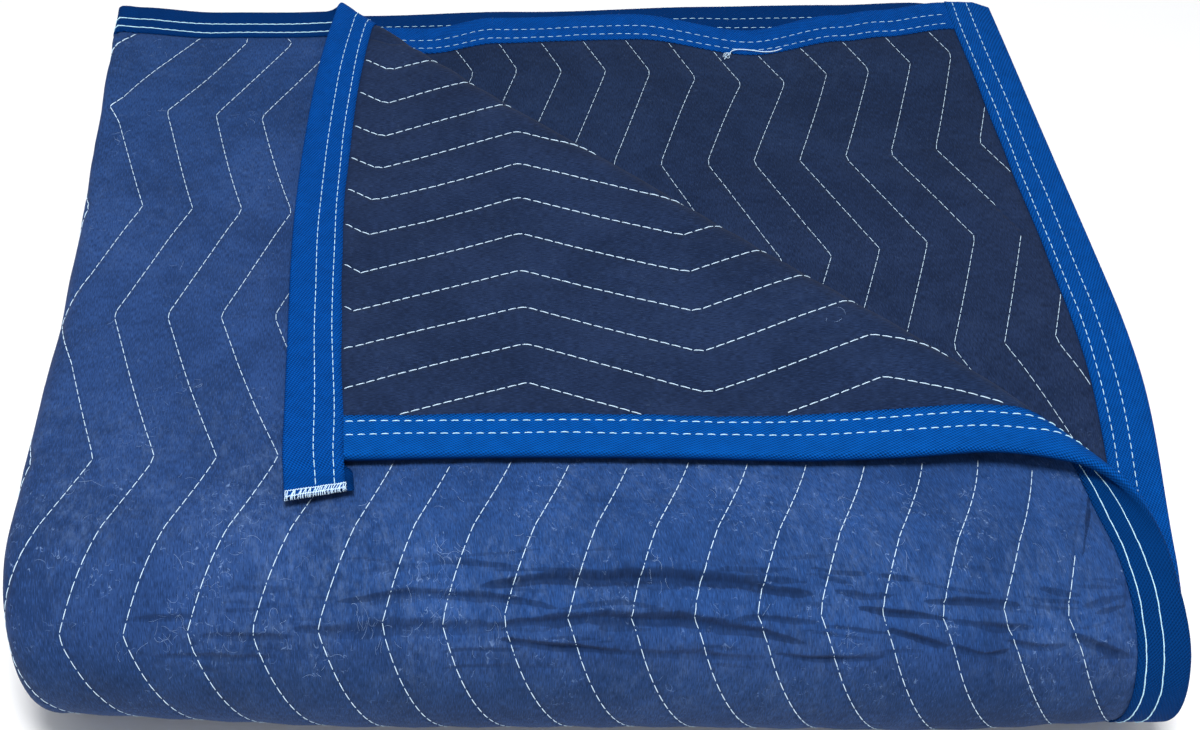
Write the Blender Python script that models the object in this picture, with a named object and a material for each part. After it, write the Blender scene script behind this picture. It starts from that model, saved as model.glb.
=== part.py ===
"""A quilted moving blanket, folded in four across and in four along, one corner turned back.

Metres, +Z up, origin under the middle of the bundle, front edge of the bundle towards -Y.
The blanket is laid out flat first: u runs across it and v along it, both from the corner that is
turned back.  fold() then carries any flat point (u, v), and its height w off the middle of the
quilt, to its place in the folded bundle.  Every solid is cut in the flat and folded by fold(), so
the fabrics and their binding stay the same distance apart round every bend.
"""
import math

import bpy
from mathutils import Vector
from mathutils.geometry import delaunay_2d_cdt

# ---- Folded bundle ----
PLY = 0.0071                      # height that one ply takes up
RIGHT_EDGE = 0.256                # x of the free edges
LEFT_BEND = -0.2445               # x where the plies start to bend at the left
RIGHT_BEND = 0.2438               # x where the middle plies bend at the right
BACK_EDGE = 0.2135                # y of the top ply's back edge
FRONT_BEND = -0.1645              # y where the plies start to bend at the front
BACK_BEND = 0.200                 # y where the lower plies bend at the back
TAIL_EDGE = 0.2315                # y of the innermost free edge
FAR_SHORT = 0.0005                # the blanket's far edge stops this far short of RIGHT_EDGE
MIDDLE = (-0.00332, 0.0060)       # middle of the bundle's outline, before it is set on the origin

# ---- Quilt and binding ----
HALF_GAP = 0.00015                # half of the slit where the binding's tail is pressed shut
HALF_QUILT = 0.00255              # from the middle of the quilt to the top of a puff
HALF_SEAM = 0.00175               # the same on a stitched line
HALF_BOUND = 0.00135              # the same under the binding
TAPE = 0.0008                     # thickness of the binding tape
CLEAR = 0.0003                    # between pieces that touch
TAPE_WIDTH = 0.0254               # binding that shows on each face
BOUND_WIDTH = 0.0260              # quilt that is squeezed flat under the binding
PUFF_START = 0.0290               # distance from the edge where the quilt is full again
TAIL = 0.026                      # binding that runs on past its corner
TAIL_PINCH = (0.0008, 0.008)      # the tail closes up between these lengths past the corner

# ---- Quilting: zigzag lines that run along v ----
LINE_PITCH = 0.0254
LINE_FIRST = 0.0095
LINE_SWING = 0.016                # half of a zigzag's width
HALF_PERIOD = 0.0835
FIRST_TURN = 0.098
TURN_DRIFT = -0.022               # change of the first turn, for each metre across
TURNS = range(-2, 12)             # turns of a line, numbered from the first one
TURN_CLEAR = 0.004                # a turn nearer the end of a stitched stretch is left out
PUFF_POWER = 0.7                  # under 1 makes the puffs round and the stitched lines sharp

# ---- Corner turned back ----
FOLD_BACK = Vector((-0.142, 0.215))     # where the fold crosses the back edge
FOLD_FRONT = Vector((0.248, -0.1750))   # where it crosses the right edge
FOLD_BOW = 0.009                        # how far the fold bows towards the flap in its middle
ROLL_RISE = (0.0055, 0.0095)            # half the roll's height, at its back and front end
ROLL_REACH = (0.0060, 0.0150)           # how far it bulges, at the same ends
FLAP_REST = 1.25 * PLY                  # height of the settled flap over the ply below
SETTLE = 0.090                          # length over which the flap comes down to it
BOW_FADE = 0.25                         # half the bow fades out of the flap over this length
CORNER_LEAN = 0.0355                    # the top ply's back right corner lies this far in
LEAN_SWING = (0.28, 0.42)               # the right edge swings back out between these lengths
CORNER_RISE = 0.017                     # and this far back
RISE_ACROSS = 0.12                      # the rise fades out from this far across the ply
RISE_ALONG = 0.35                       # and over this length from its back edge

# ---- Unevenness of the bundle ----
# Each of these grows over a range of x, or of -x at the left, and over a range of -y.
SAG = {"size": 0.29, "over_x": (0.00, 0.30), "over_y": (0.020, 0.240)}     # share of height lost
PULL = {"size": 0.010, "over_x": (0.10, 0.26), "over_y": (0.12, 0.23)}     # low plies drawn in
BULGE = {"size": 0.006, "over_x": (0.10, 0.25), "over_y": (0.00, 0.18)}    # left side swells out
ROUNDING = {"size": 0.008, "over_x": (0.12, 0.26), "over_y": (0.06, 0.20)}   # corner drawn in
CROWN = {"size": 0.0022, "x_wave": 4.4, "x_shift": 0.5, "y_wave": 7.0}     # swell of the top
RIPPLE = {"size": 0.0012, "one_wave": (23.0, 5.0), "other_wave": (-6.0, 17.0)}
EDGE_WAVES = [                    # place across the blanket, how far its back edge slips back
    {"across": 0.500, "slip": 0.000},
    {"across": 0.800, "slip": 0.009},
    {"across": 1.300, "slip": 0.013},
    {"across": 1.700, "slip": -0.008},
    {"across": 1.740, "slip": 0.004},
    {"across": 1.820, "slip": 0.008},
    {"across": 1.885, "slip": -0.009},
    {"across": 1.940, "slip": 0.005},
    {"across": 2.040, "slip": 0.019},
]

# ---- Colours and roughness ----
BLUE = ((0.028, 0.078, 0.245), 0.92)
NAVY = ((0.018, 0.034, 0.092), 0.92)
BRIGHT_BLUE = ((0.008, 0.085, 0.46), 0.60)

# ---- Lines of the mesh across every straight run, at the same places in every ply ----
# Extra ones along the right edge where it swings out, that run this far in from it.
LEAN_MARKS = (0.290, 0.311, 0.322, 0.333, 0.341, 0.357, 0.368, 0.386)
LEAN_REACH = 0.060
X_KNOTS = (0.03, 0.11, 0.17, 0.22)
Y_KNOTS = (-0.135, -0.090, -0.045, 0.010, 0.080)
SLIP_FADE = BACK_EDGE - Y_KNOTS[-1]     # the back edge's slip dies out over this length
ROLL_STEPS = 120                  # steps along the fold when a line of the roll is drawn
STEPS_PAST = 4                    # and past each of its ends
KEPT_EVERY = 12                   # steps from one point to the next that the mesh keeps
TURN_BACK_TRIES = 6               # rounds that find the flat point for a place on the top ply
MERGE = 1e-6                      # flat points nearer than this are one
LEAST_AREA = 1e-12                # thinner triangles of the flat mesh are left out
ON_EDGE = 1e-5                    # a point this near the tape's middle line is on it
MARK_CLEAR = 0.001                # no line across a tape lies this near its end

LEFT_TURN_LENGTH = math.pi * 1.5 * PLY
SMALL_TURN_LENGTH = math.pi * 0.5 * PLY
NOSE_LENGTH = math.pi * 6.0 * PLY
INNER_TURN_LENGTH = math.pi * 2.0 * PLY

# Each path is straight runs and half turns: its length, how far it turns (left is positive) and
# how many facets a turn has.
ACROSS_START = (RIGHT_EDGE, 1.5 * PLY)
ACROSS = [
    {"length": RIGHT_EDGE - LEFT_BEND, "turn": 0.0, "cuts": 1},
    {"length": LEFT_TURN_LENGTH, "turn": math.pi, "cuts": 5},
    {"length": RIGHT_BEND - LEFT_BEND, "turn": 0.0, "cuts": 1},
    {"length": SMALL_TURN_LENGTH, "turn": math.pi, "cuts": 3},
    {"length": RIGHT_BEND - LEFT_BEND, "turn": 0.0, "cuts": 1},
    {"length": SMALL_TURN_LENGTH, "turn": -math.pi, "cuts": 3},
    {"length": RIGHT_EDGE - LEFT_BEND - FAR_SHORT, "turn": 0.0, "cuts": 1},
]
ALONG_START = (BACK_EDGE, 14.0 * PLY - (0.5 * PLY - HALF_QUILT))
ALONG = [
    {"length": BACK_EDGE - FRONT_BEND, "turn": 0.0, "cuts": 1},
    {"length": NOSE_LENGTH, "turn": math.pi, "cuts": 8},
    {"length": BACK_BEND - FRONT_BEND, "turn": 0.0, "cuts": 1},
    {"length": INNER_TURN_LENGTH, "turn": math.pi, "cuts": 4},
    {"length": BACK_BEND - FRONT_BEND, "turn": 0.0, "cuts": 1},
    {"length": INNER_TURN_LENGTH, "turn": -math.pi, "cuts": 4},
    {"length": TAIL_EDGE - FRONT_BEND, "turn": 0.0, "cuts": 1},
]
WIDTH = sum(piece["length"] for piece in ACROSS)
LENGTH = sum(piece["length"] for piece in ALONG)
TOP_WIDTH = ACROSS[0]["length"]
TOP_LENGTH = ALONG[0]["length"]
NOSE_END = TOP_LENGTH + NOSE_LENGTH
QUILTED_END = TOP_LENGTH + 0.75 * NOSE_LENGTH     # below this the nose faces the floor
FLAP_HIDES = 0.330                # length of the top ply that the flap hides, from the back edge
FLAP_LEAST = 0.05                 # where less of the ply than this is turned back, none is hidden
SECOND_LEAST = 0.07               # the second ply is quilted at least this far from its back edge
SECOND_MORE = 0.02                # and this far past the fold
BUNDLE_HEIGHT = 16.0 * PLY - 2.0 * (0.5 * PLY - HALF_QUILT)


def ease(value, start, end):
    """0 before start, 1 past end, and a smooth step between them."""
    share = min(max((value - start) / (end - start), 0.0), 1.0)
    return share * share * (3.0 - 2.0 * share)


def mix(pair, share):
    return pair[0] + (pair[1] - pair[0]) * share


def walk(start, pieces, distance):
    """Point on a path that sets out to the left, and the way that its right-hand side faces."""
    across, up = start
    heading = math.pi
    for number, piece in enumerate(pieces):
        last = number == len(pieces) - 1
        step = distance if last else min(distance, piece["length"])
        if piece["turn"] == 0.0:
            across += step * math.cos(heading)
            up += step * math.sin(heading)
        else:
            radius = piece["length"] / piece["turn"]
            turned = heading + step / radius
            across += radius * (math.sin(turned) - math.sin(heading))
            up += radius * (math.cos(heading) - math.cos(turned))
            heading = turned
        distance -= step
        if distance <= 0.0:
            break
    return (across, up), (math.sin(heading), -math.cos(heading))


def stations(start, pieces, knots):
    """Distances along a path where the mesh gets a line: round each turn and at each knot."""
    marks = []
    passed = 0.0
    for piece in pieces:
        marks += [passed + piece["length"] * cut / piece["cuts"] for cut in range(piece["cuts"])]
        if piece["turn"] == 0.0:
            place = walk(start, pieces, passed + MERGE)[0][0]
            ahead = walk(start, pieces, passed + 2.0 * MERGE)[0][0] - place
            way = math.copysign(1.0, ahead)
            away = [(knot - place) * way for knot in knots]
            marks += [passed + step for step in away if 0.0 < step < piece["length"]]
        passed += piece["length"]
    return sorted(marks)[1:]


def edge_slip(across):
    """How far the back edge has slipped, read from EDGE_WAVES."""
    for near, far in zip(EDGE_WAVES, EDGE_WAVES[1:]):
        if across < far["across"]:
            share = ease(across, near["across"], far["across"])
            return near["slip"] + (far["slip"] - near["slip"]) * share
    return EDGE_WAVES[-1]["slip"]


# ---- The corner turned back ----
FOLD_LENGTH = (FOLD_FRONT - FOLD_BACK).length
FOLD_WAY = (FOLD_FRONT - FOLD_BACK) / FOLD_LENGTH
FOLD_OUT = Vector((-FOLD_WAY.y, FOLD_WAY.x))


def top_place(u, v):
    """Where a point of the top ply lies while its corner is still laid out flat."""
    from_fold = 1.0 - u / TOP_WIDTH
    lean = CORNER_LEAN * from_fold * (1.0 - ease(v, *LEAN_SWING))
    rise = CORNER_RISE * (1.0 - ease(u, RISE_ACROSS, TOP_WIDTH)) * (1.0 - ease(v, 0.0, RISE_ALONG))
    return Vector((RIGHT_EDGE - u - lean, BACK_EDGE - v + rise))


def fold_bow(along):
    """How far the fold lies inside the straight line between its ends."""
    return FOLD_BOW * math.sin(math.pi * min(max(along / FOLD_LENGTH, 0.0), 1.0))


def roll_shape(along):
    """Half height, reach and length round of the roll, at a place along the fold."""
    share = along / FOLD_LENGTH
    rise, reach = mix(ROLL_RISE, share), mix(ROLL_REACH, share)
    return rise, reach, math.pi * math.sqrt((rise * rise + reach * reach) / 2.0)


def turn_back(place, w):
    """Plan position and height of a point past the fold, and w off the middle of the ply."""
    offset = place - FOLD_BACK
    along = offset.dot(FOLD_WAY)
    bow = fold_bow(along)
    past = offset.dot(FOLD_OUT) + bow
    rise, reach, round_length = roll_shape(along)
    if past < round_length:
        angle = math.pi * past / round_length
        out, height = reach * math.sin(angle), rise * (1.0 - math.cos(angle))
        lean, lift = -rise * math.sin(angle), reach * math.cos(angle)
        size = math.hypot(lean, lift)
        out += w * lean / size
        height += w * lift / size
    else:
        back = past - round_length
        out = -back
        height = mix((2.0 * rise, FLAP_REST), ease(back, 0.0, SETTLE)) - w
        bow *= 1.0 - ease(back, 0.0, BOW_FADE)
    return FOLD_BACK + FOLD_WAY * along + FOLD_OUT * (out - bow), height


def settle(x, y, z):
    """The bundle's own unevenness: a smooth move of space that leaves the floor where it is."""
    level = z / BUNDLE_HEIGHT

    def grown(change, side):
        return change["size"] * ease(side * x, *change["over_x"]) * ease(-y, *change["over_y"])

    swell = CROWN["size"] * math.cos(CROWN["x_wave"] * x - CROWN["x_shift"])
    swell *= math.cos(CROWN["y_wave"] * y)
    ripple = RIPPLE["size"]
    for x_wave, y_wave in (RIPPLE["one_wave"], RIPPLE["other_wave"]):
        ripple *= math.sin(x_wave * x + y_wave * y)
    sag, draw = grown(SAG, 1.0), grown(ROUNDING, 1.0)
    pull, bulge = grown(PULL, -1.0) * (1.0 - level), grown(BULGE, -1.0)
    settled_z = z * (1.0 - sag) + level * (swell + ripple)
    return Vector((x + pull - bulge - draw - MIDDLE[0], y + pull + draw - MIDDLE[1], settled_z))


def fold(u, v, w):
    """Place in the bundle of the flat point (u, v), w above the middle of the quilt."""
    (x, rise), (face_x, face_up) = walk(ACROSS_START, ACROSS, u)
    height = w * face_up
    if u < TOP_WIDTH:
        place = top_place(u, v)
        offset = place - FOLD_BACK
        if offset.dot(FOLD_OUT) + fold_bow(offset.dot(FOLD_WAY)) > 0.0:
            place, height = turn_back(place, w)
        x, v = place.x, BACK_EDGE - place.y
    else:
        x += w * face_x
        v -= edge_slip(u) * (1.0 - ease(v, 0.0, SLIP_FADE))
    (y, z), (out_y, out_z) = walk(ALONG_START, ALONG, v)
    off = rise + height
    return settle(x, y + off * out_y, z + off * out_z)


# ---- Lines of the flat mesh ----
def straight_lines(wide, long, edge):
    """Lines across and along the whole flat sheet, and round its border at a distance edge."""
    low_u, low_v, high_u, high_v = edge, edge, WIDTH - edge, LENGTH - edge
    lines = [[(u, low_v), (u, high_v)] for u in wide if low_u < u < high_u]
    lines += [[(low_u, v), (high_u, v)] for v in long if low_v < v < high_v]
    lines.append([(low_u, low_v), (high_u, low_v), (high_u, high_v), (low_u, high_v), (low_u, low_v)])
    return lines


def rim_diagonals(wide, right, far, low, high):
    """One slanted line in each cell of the rim, so that quilt and binding bend along the same."""
    lines = []
    for start, end in zip(wide, wide[1:]):
        lines.append([(start, low), (end, high)])
        lines.append([(start, LENGTH - low), (end, LENGTH - high)])
    lines += [[(low, start), (high, end)] for start, end in zip(right, right[1:])]
    lines += [[(WIDTH - low, start), (WIDTH - high, end)] for start, end in zip(far, far[1:])]
    return lines


def top_flat(place):
    """The flat point of the top ply that top_place() puts at this place."""
    u, v = RIGHT_EDGE - place.x, BACK_EDGE - place.y
    for _ in range(TURN_BACK_TRIES):
        error = top_place(u, v) - place
        u += error.x
        v += error.y
    return u, v


def roll_lines(low_u, low_v, high_u, high_v):
    """Lines along the roll and the settling flap, drawn in the flat and cut off at the given box."""
    stages = [(quarter / 4.0, 0.0) for quarter in range(5)]
    stages += [(1.0, SETTLE * third / 3.0) for third in range(1, 4)]
    lines = []
    for round_share, flap_length in stages:
        line = []
        for step in range(-STEPS_PAST, ROLL_STEPS + STEPS_PAST + 1):
            along = FOLD_LENGTH * step / ROLL_STEPS
            past = roll_shape(along)[2] * round_share + flap_length - fold_bow(along)
            u, v = top_flat(FOLD_BACK + FOLD_WAY * along + FOLD_OUT * past)
            line.append(Vector((u, v)))
        lines.append(clip(line, low_u, low_v, high_u, high_v))
    return [line for line in lines if len(line) > 1]


def clip(line, low_u, low_v, high_u, high_v):
    """The part of a line inside a box, ended on the box's sides, with most points left out."""
    limits = ((0, low_u, 1.0), (1, low_v, 1.0), (0, high_u, -1.0), (1, high_v, -1.0))
    for axis, limit, sign in limits:
        kept = []
        for start, end in zip(line, line[1:]):
            inside_start = (start[axis] - limit) * sign >= 0.0
            inside_end = (end[axis] - limit) * sign >= 0.0
            if inside_start and not kept:
                kept.append(start)
            if inside_start != inside_end:
                share = (limit - start[axis]) / (end[axis] - start[axis])
                crossing = start.lerp(end, share)
                crossing[axis] = limit
                kept.append(crossing)
            if inside_end:
                kept.append(end)
        line = kept
    if len(line) < 2:
        return []
    middle = line[1 + KEPT_EVERY // 2:-1:KEPT_EVERY]
    return [tuple(point) for point in [line[0]] + middle + [line[-1]]]


def zigzag(v, line_number, first_turn):
    """Place across of a quilting line."""
    turns = (v - first_turn) / HALF_PERIOD
    wave = abs((turns % 2.0) - 1.0) * 2.0 - 1.0
    return LINE_FIRST + LINE_PITCH * line_number + LINE_SWING * wave


def turn_row(u):
    return FIRST_TURN + TURN_DRIFT * u


def quilt_lines(low_u, high_u, stretch):
    """Stitched zigzags and the puffs between them, each over the lengths that stretch(u) gives."""
    lines = []
    for half_number in range(2 * int(WIDTH / LINE_PITCH)):
        centre = LINE_FIRST + LINE_PITCH * half_number / 2.0
        if not low_u + LINE_SWING < centre < high_u - LINE_SWING:
            continue
        first_turn = turn_row(centre)
        turns = [first_turn + HALF_PERIOD * number for number in TURNS]
        for low_v, high_v in stretch(centre):
            rows = [v for v in turns if low_v + TURN_CLEAR < v < high_v - TURN_CLEAR]
            rows = [low_v] + rows + [high_v]
            lines.append([(zigzag(v, half_number / 2.0, first_turn), v) for v in rows])
    return lines


def puff(u, v):
    """Height of the quilt off its middle, low on the stitched zigzags."""
    first_turn = turn_row(u)
    shift = zigzag(v, 0, first_turn)
    place = ((u - shift) / LINE_PITCH) % 1.0
    rise = 1.0 - abs(2.0 * place - 1.0)
    return HALF_SEAM + (HALF_QUILT - HALF_SEAM) * rise ** PUFF_POWER


def triangulate(lines):
    """Flat points and triangles of a sheet in which every given line is an edge."""
    points, edges = [], []
    for line in lines:
        first = len(points)
        points += [Vector(point) for point in line]
        edges += [(first + number, first + number + 1) for number in range(len(line) - 1)]
    flat, _, faces, _, _, _ = delaunay_2d_cdt(points, edges, [], 0, MERGE)
    turned = []
    for a, b, c in faces:
        area = (flat[b] - flat[a]).cross(flat[c] - flat[a])
        if abs(area) > LEAST_AREA:
            turned.append((a, b, c) if area > 0.0 else (a, c, b))
    return flat, turned


# ---- Solids ----
def border(faces):
    """Edges that only one triangle uses, in that triangle's direction."""
    used = {(face[i], face[(i + 1) % 3]) for face in faces for i in range(3)}
    return [edge for edge in used if (edge[1], edge[0]) not in used]


def plain_material(name, colour, roughness):
    material = bpy.data.materials.new(name)
    material.use_nodes = True
    shader = material.node_tree.nodes["Principled BSDF"]
    shader.inputs["Base Color"].default_value = (*colour, 1.0)
    shader.inputs["Roughness"].default_value = roughness
    shader.inputs["Metallic"].default_value = 0.0
    return material


def make_object(name, points, faces, materials):
    mesh = bpy.data.meshes.new(name)
    mesh.from_pydata([tuple(point) for point in points], [], faces)
    for material in materials:
        mesh.materials.append(material)
    thing = bpy.data.objects.new(name, mesh)
    bpy.context.collection.objects.link(thing)
    return thing


def edge_distance(u, v):
    return min(u, v, WIDTH - u, LENGTH - v)


def quilt_height(u, v):
    """Height of the quilt's surface off its middle: thin under the binding, full inside it."""
    on_top = PUFF_START <= u <= TOP_WIDTH
    on_second = WIDTH - TOP_WIDTH <= u <= WIDTH - PUFF_START
    stretches = top_stretch(u) if on_top else second_stretch(u) if on_second else []
    stitched = any(low_v <= v <= high_v for low_v, high_v in stretches)
    full = puff(u, v) if stitched else HALF_QUILT
    share = (edge_distance(u, v) - BOUND_WIDTH) / (PUFF_START - BOUND_WIDTH)
    return mix((HALF_BOUND, full), min(max(share, 0.0), 1.0))


def fold_reach(x):
    """Length from the back edge to the fold of the turned back corner, at one x."""
    fold_y = FOLD_BACK.y + (x - FOLD_BACK.x) * FOLD_WAY.y / FOLD_WAY.x
    return BACK_EDGE - fold_y


def top_stretch(u):
    """Lengths of the top ply's quilting: the flap's, then on from where the flap stops hiding it."""
    on_flap = fold_reach(RIGHT_EDGE - u)
    if on_flap < FLAP_LEAST:
        return [(PUFF_START, QUILTED_END)]
    return [(PUFF_START, min(on_flap, FLAP_HIDES)), (FLAP_HIDES, QUILTED_END)]


def second_stretch(u):
    """Length of the second ply's quilting: as far as the corner turned back shows it."""
    to_fold = fold_reach(RIGHT_EDGE - WIDTH + u) + SECOND_MORE
    return [(PUFF_START, min(max(to_fold, SECOND_LEAST), TOP_LENGTH))]


def with_rims(marks, total):
    """The marks, and those where the quilt is squeezed flat for its binding."""
    rims = [BOUND_WIDTH, PUFF_START]
    return sorted(marks + rims + [total - rim for rim in rims])


def marks_across():
    return with_rims(stations(ACROSS_START, ACROSS, X_KNOTS), WIDTH)


def marks_along():
    return with_rims(stations(ALONG_START, ALONG, Y_KNOTS), LENGTH)


def slip_marks():
    """Places across the blanket where its back edge slips more, or less."""
    return [wave["across"] for wave in EDGE_WAVES[1:-1]]


def make_quilt():
    """Blue fabric, filling and navy fabric, stitched through into one body."""
    margin = TAPE + CLEAR
    wide, long = marks_across(), marks_along()
    lines = straight_lines(wide, long, margin)
    lines += [[(mark, margin), (mark, SLIP_FADE)] for mark in slip_marks()]
    lines += [[(margin, mark), (LEAN_REACH, mark)] for mark in LEAN_MARKS]
    lines += roll_lines(margin, margin, TOP_WIDTH, NOSE_END)
    lines += quilt_lines(PUFF_START, TOP_WIDTH, top_stretch)
    lines += quilt_lines(WIDTH - TOP_WIDTH, WIDTH - PUFF_START, second_stretch)
    lines += rim_diagonals(wide, sorted([*long, *LEAN_MARKS]), long, margin, BOUND_WIDTH)
    flat, faces = triangulate(lines)
    count = len(flat)
    points = [fold(u, v, quilt_height(u, v)) for u, v in flat]
    points += [fold(u, v, -quilt_height(u, v)) for u, v in flat]
    # u grows towards -x and v towards -y, so a sheet wound anticlockwise in (u, v) looks up.
    solid = list(faces)
    solid += [(a + count, c + count, b + count) for a, b, c in faces]
    for a, b in border(faces):
        solid.append((a, b + count, b))
        solid.append((a, a + count, b + count))
    blue = plain_material("blue_fabric", *BLUE)
    navy = plain_material("navy_fabric", *NAVY)
    quilt = make_object("quilt", points, solid, [blue, navy])
    for number in range(len(faces), 2 * len(faces)):
        quilt.data.polygons[number].material_index = 1


def binding_point(side_of_blanket, along, inward):
    """Flat point at a distance along one side and a distance in from its edge."""
    return {
        "right": (inward, along),
        "back": (along, inward),
        "far": (WIDTH - inward, along),
        "tail": (along, LENGTH - inward),
    }[side_of_blanket]


def make_binding(name, side, start, end, marks, with_tail):
    """A tape folded in a U over one side of the quilt: an outer skin, an inner skin and rims."""
    marks = [mark for mark in marks if start + MARK_CLEAR < mark < end - MARK_CLEAR]
    mirrored = side in ("right", "tail")
    lines = [[(mark, 0.0), (mark, TAPE_WIDTH)] for mark in marks]
    lines += [[(near, 0.0), (far, TAPE_WIDTH)] for near, far in zip(marks, marks[1:])]
    lines.append([(start, 0.0), (end, 0.0), (end, TAPE_WIDTH), (start, TAPE_WIDTH), (start, 0.0)])
    if side in ("right", "back"):
        box = (0.0, start, TAPE_WIDTH, end) if side == "right" else (start, 0.0, end, TAPE_WIDTH)
        for line in roll_lines(*box):
            lines.append([(v, u) for u, v in line] if side == "right" else line)
    flat, faces = triangulate(lines)

    def half_opening(along):
        tight = ease(-along, *TAIL_PINCH) if with_tail else 0.0
        return mix((HALF_BOUND + CLEAR, HALF_GAP), tight)

    def skin(w_side, depth, inset):
        points = []
        for along, inward in flat:
            reach = inset + inward * (TAPE_WIDTH - inset) / TAPE_WIDTH
            w = w_side * (half_opening(along) + depth)
            points.append(fold(*binding_point(side, along, reach), w))
        return points

    skins = [skin(1.0, TAPE, 0.0), skin(-1.0, TAPE, 0.0), skin(1.0, 0.0, TAPE), skin(-1.0, 0.0, TAPE)]
    count = len(flat)
    face_up, back_up, face_in, back_in = (number * count for number in range(4))
    solid = []
    for a, b, c in faces:
        solid.append((face_up + a, face_up + c, face_up + b))
        solid.append((back_up + a, back_up + b, back_up + c))
        solid.append((face_in + a, face_in + b, face_in + c))
        solid.append((back_in + a, back_in + c, back_in + b))
    for a, b in border(faces):
        on_edge = max(flat[a].y, flat[b].y) < ON_EDGE
        pairs = ((face_up, back_up), (back_in, face_in)) if on_edge else (
            (face_up, face_in), (back_in, back_up))
        for high, low in pairs:
            solid.append((high + a, high + b, low + b))
            solid.append((high + a, low + b, low + a))
    skin_of = (face_up, back_up, back_in, face_in)
    for number, (along, inward) in enumerate(flat):
        if inward < ON_EDGE and abs(along - start) < ON_EDGE:
            solid.append(tuple(first + number for first in skin_of))
        if inward < ON_EDGE and abs(along - end) < ON_EDGE:
            solid.append(tuple(first + number for first in reversed(skin_of)))
    if not mirrored:
        solid = [tuple(reversed(face)) for face in solid]
    points = [point for one in skins for point in one]
    make_object(name, points, solid, [plain_material(name, *BRIGHT_BLUE)])


def make_bindings():
    """Four tapes, each butted against the next one round the blanket."""
    butt = TAPE_WIDTH + CLEAR
    wide, long = marks_across(), marks_along()
    make_binding("binding_back", "back", -TAIL, WIDTH - butt,
                 sorted(wide + slip_marks() + [-TAIL_PINCH[1], 0.0]), True)
    make_binding("binding_right", "right", butt, LENGTH, sorted([*long, *LEAN_MARKS]), False)
    make_binding("binding_far", "far", 0.0, LENGTH - butt, long, False)
    make_binding("binding_inner", "tail", butt, WIDTH, wide, False)


def main():
    for thing in list(bpy.data.objects):
        bpy.data.objects.remove(thing, do_unlink=True)
    make_quilt()
    make_bindings()


main()
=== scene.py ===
"""Folded moving blanket: its two fabrics, binding tapes, stitching and a plain studio.

Metres, +Z up.  The blanket is worked out flat: u runs across it and v along it, both from the
corner that is turned back.  fold() carries a flat point to its place in the bundle.
"""
import math
import random

import bpy
from bpy.props import FloatProperty, FloatVectorProperty, IntProperty, PointerProperty
from bpy.types import Operator, Panel, PropertyGroup
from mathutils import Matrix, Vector, noise
from mathutils.bvhtree import BVHTree


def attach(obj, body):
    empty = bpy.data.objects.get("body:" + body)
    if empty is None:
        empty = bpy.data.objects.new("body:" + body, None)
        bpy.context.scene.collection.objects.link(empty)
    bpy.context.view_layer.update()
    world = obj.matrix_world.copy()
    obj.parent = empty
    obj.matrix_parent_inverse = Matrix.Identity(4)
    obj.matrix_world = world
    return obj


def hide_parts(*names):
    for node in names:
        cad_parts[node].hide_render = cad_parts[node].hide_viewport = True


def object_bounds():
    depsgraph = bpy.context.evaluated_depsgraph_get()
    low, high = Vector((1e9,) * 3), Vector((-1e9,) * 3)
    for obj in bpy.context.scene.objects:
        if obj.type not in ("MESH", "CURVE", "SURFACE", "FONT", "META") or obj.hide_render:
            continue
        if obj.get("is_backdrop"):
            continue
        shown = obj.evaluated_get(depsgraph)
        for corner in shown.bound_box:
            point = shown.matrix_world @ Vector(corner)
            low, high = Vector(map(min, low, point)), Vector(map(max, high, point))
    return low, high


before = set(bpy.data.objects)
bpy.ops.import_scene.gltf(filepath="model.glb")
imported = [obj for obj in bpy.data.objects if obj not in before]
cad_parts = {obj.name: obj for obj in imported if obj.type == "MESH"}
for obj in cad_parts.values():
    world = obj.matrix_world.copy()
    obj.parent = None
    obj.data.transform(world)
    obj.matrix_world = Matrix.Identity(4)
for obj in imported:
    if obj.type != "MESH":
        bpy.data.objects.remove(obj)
CAD_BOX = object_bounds()

bl_info = {
    "name": "Folded moving blanket",
    "version": (1, 0, 0),
    "blender": (4, 5, 0),
    "location": "3D View > Sidebar > Blanket",
    "description": "Builds a folded quilted moving blanket with bound edges",
    "category": "Add Mesh",
}

# ---- Folded bundle, as the solids have it ----
PLY = 0.0071                      # height that one ply takes up
RIGHT_EDGE = 0.256                # x of the free edges
LEFT_BEND = -0.2445               # x where the plies start to bend at the left
RIGHT_BEND = 0.2438               # x where the middle plies bend at the right
BACK_EDGE = 0.2135                # y of the top ply's back edge
FRONT_BEND = -0.1645              # y where the plies start to bend at the front
BACK_BEND = 0.200                 # y where the lower plies bend at the back
TAIL_EDGE = 0.2315                # y of the innermost free edge
FAR_SHORT = 0.0005                # the blanket's far edge stops this far short of RIGHT_EDGE
MIDDLE = (-0.00332, 0.0060)       # middle of the bundle's outline, before it is set on the origin

HALF_QUILT = 0.00255              # from the middle of the quilt to the top of a puff
HALF_SEAM = 0.00165               # the same on a stitched line
HALF_BOUND = 0.00135              # the same under the binding
HALF_GAP = 0.00015                # half of the slit where the binding's tail is pressed shut
TAPE = 0.0008                     # thickness of the binding tape
CLEAR = 0.0003                    # between cloth and tape
TAPE_WIDTH = 0.0254
BOUND_WIDTH = 0.0258              # quilt that is squeezed flat under the binding
PUFF_START = 0.0285               # distance from the edge where the quilt is full again
TAIL = 0.026                      # binding that runs on past its corner
TAIL_PINCH = (0.0008, 0.008)      # the tail closes up between these lengths past the corner
TAIL_CUT = (0.0026, 0.0076)       # shorter by this much at its outer and at its inner edge
TAIL_LEAN = 0.0016                # its end lies this much further in
TAIL_LEAN_START = 0.010           # and starts to do so this far before the corner
UNDER_WIDER = 0.0035              # the blue side's half of the tail is wider by this much

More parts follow.
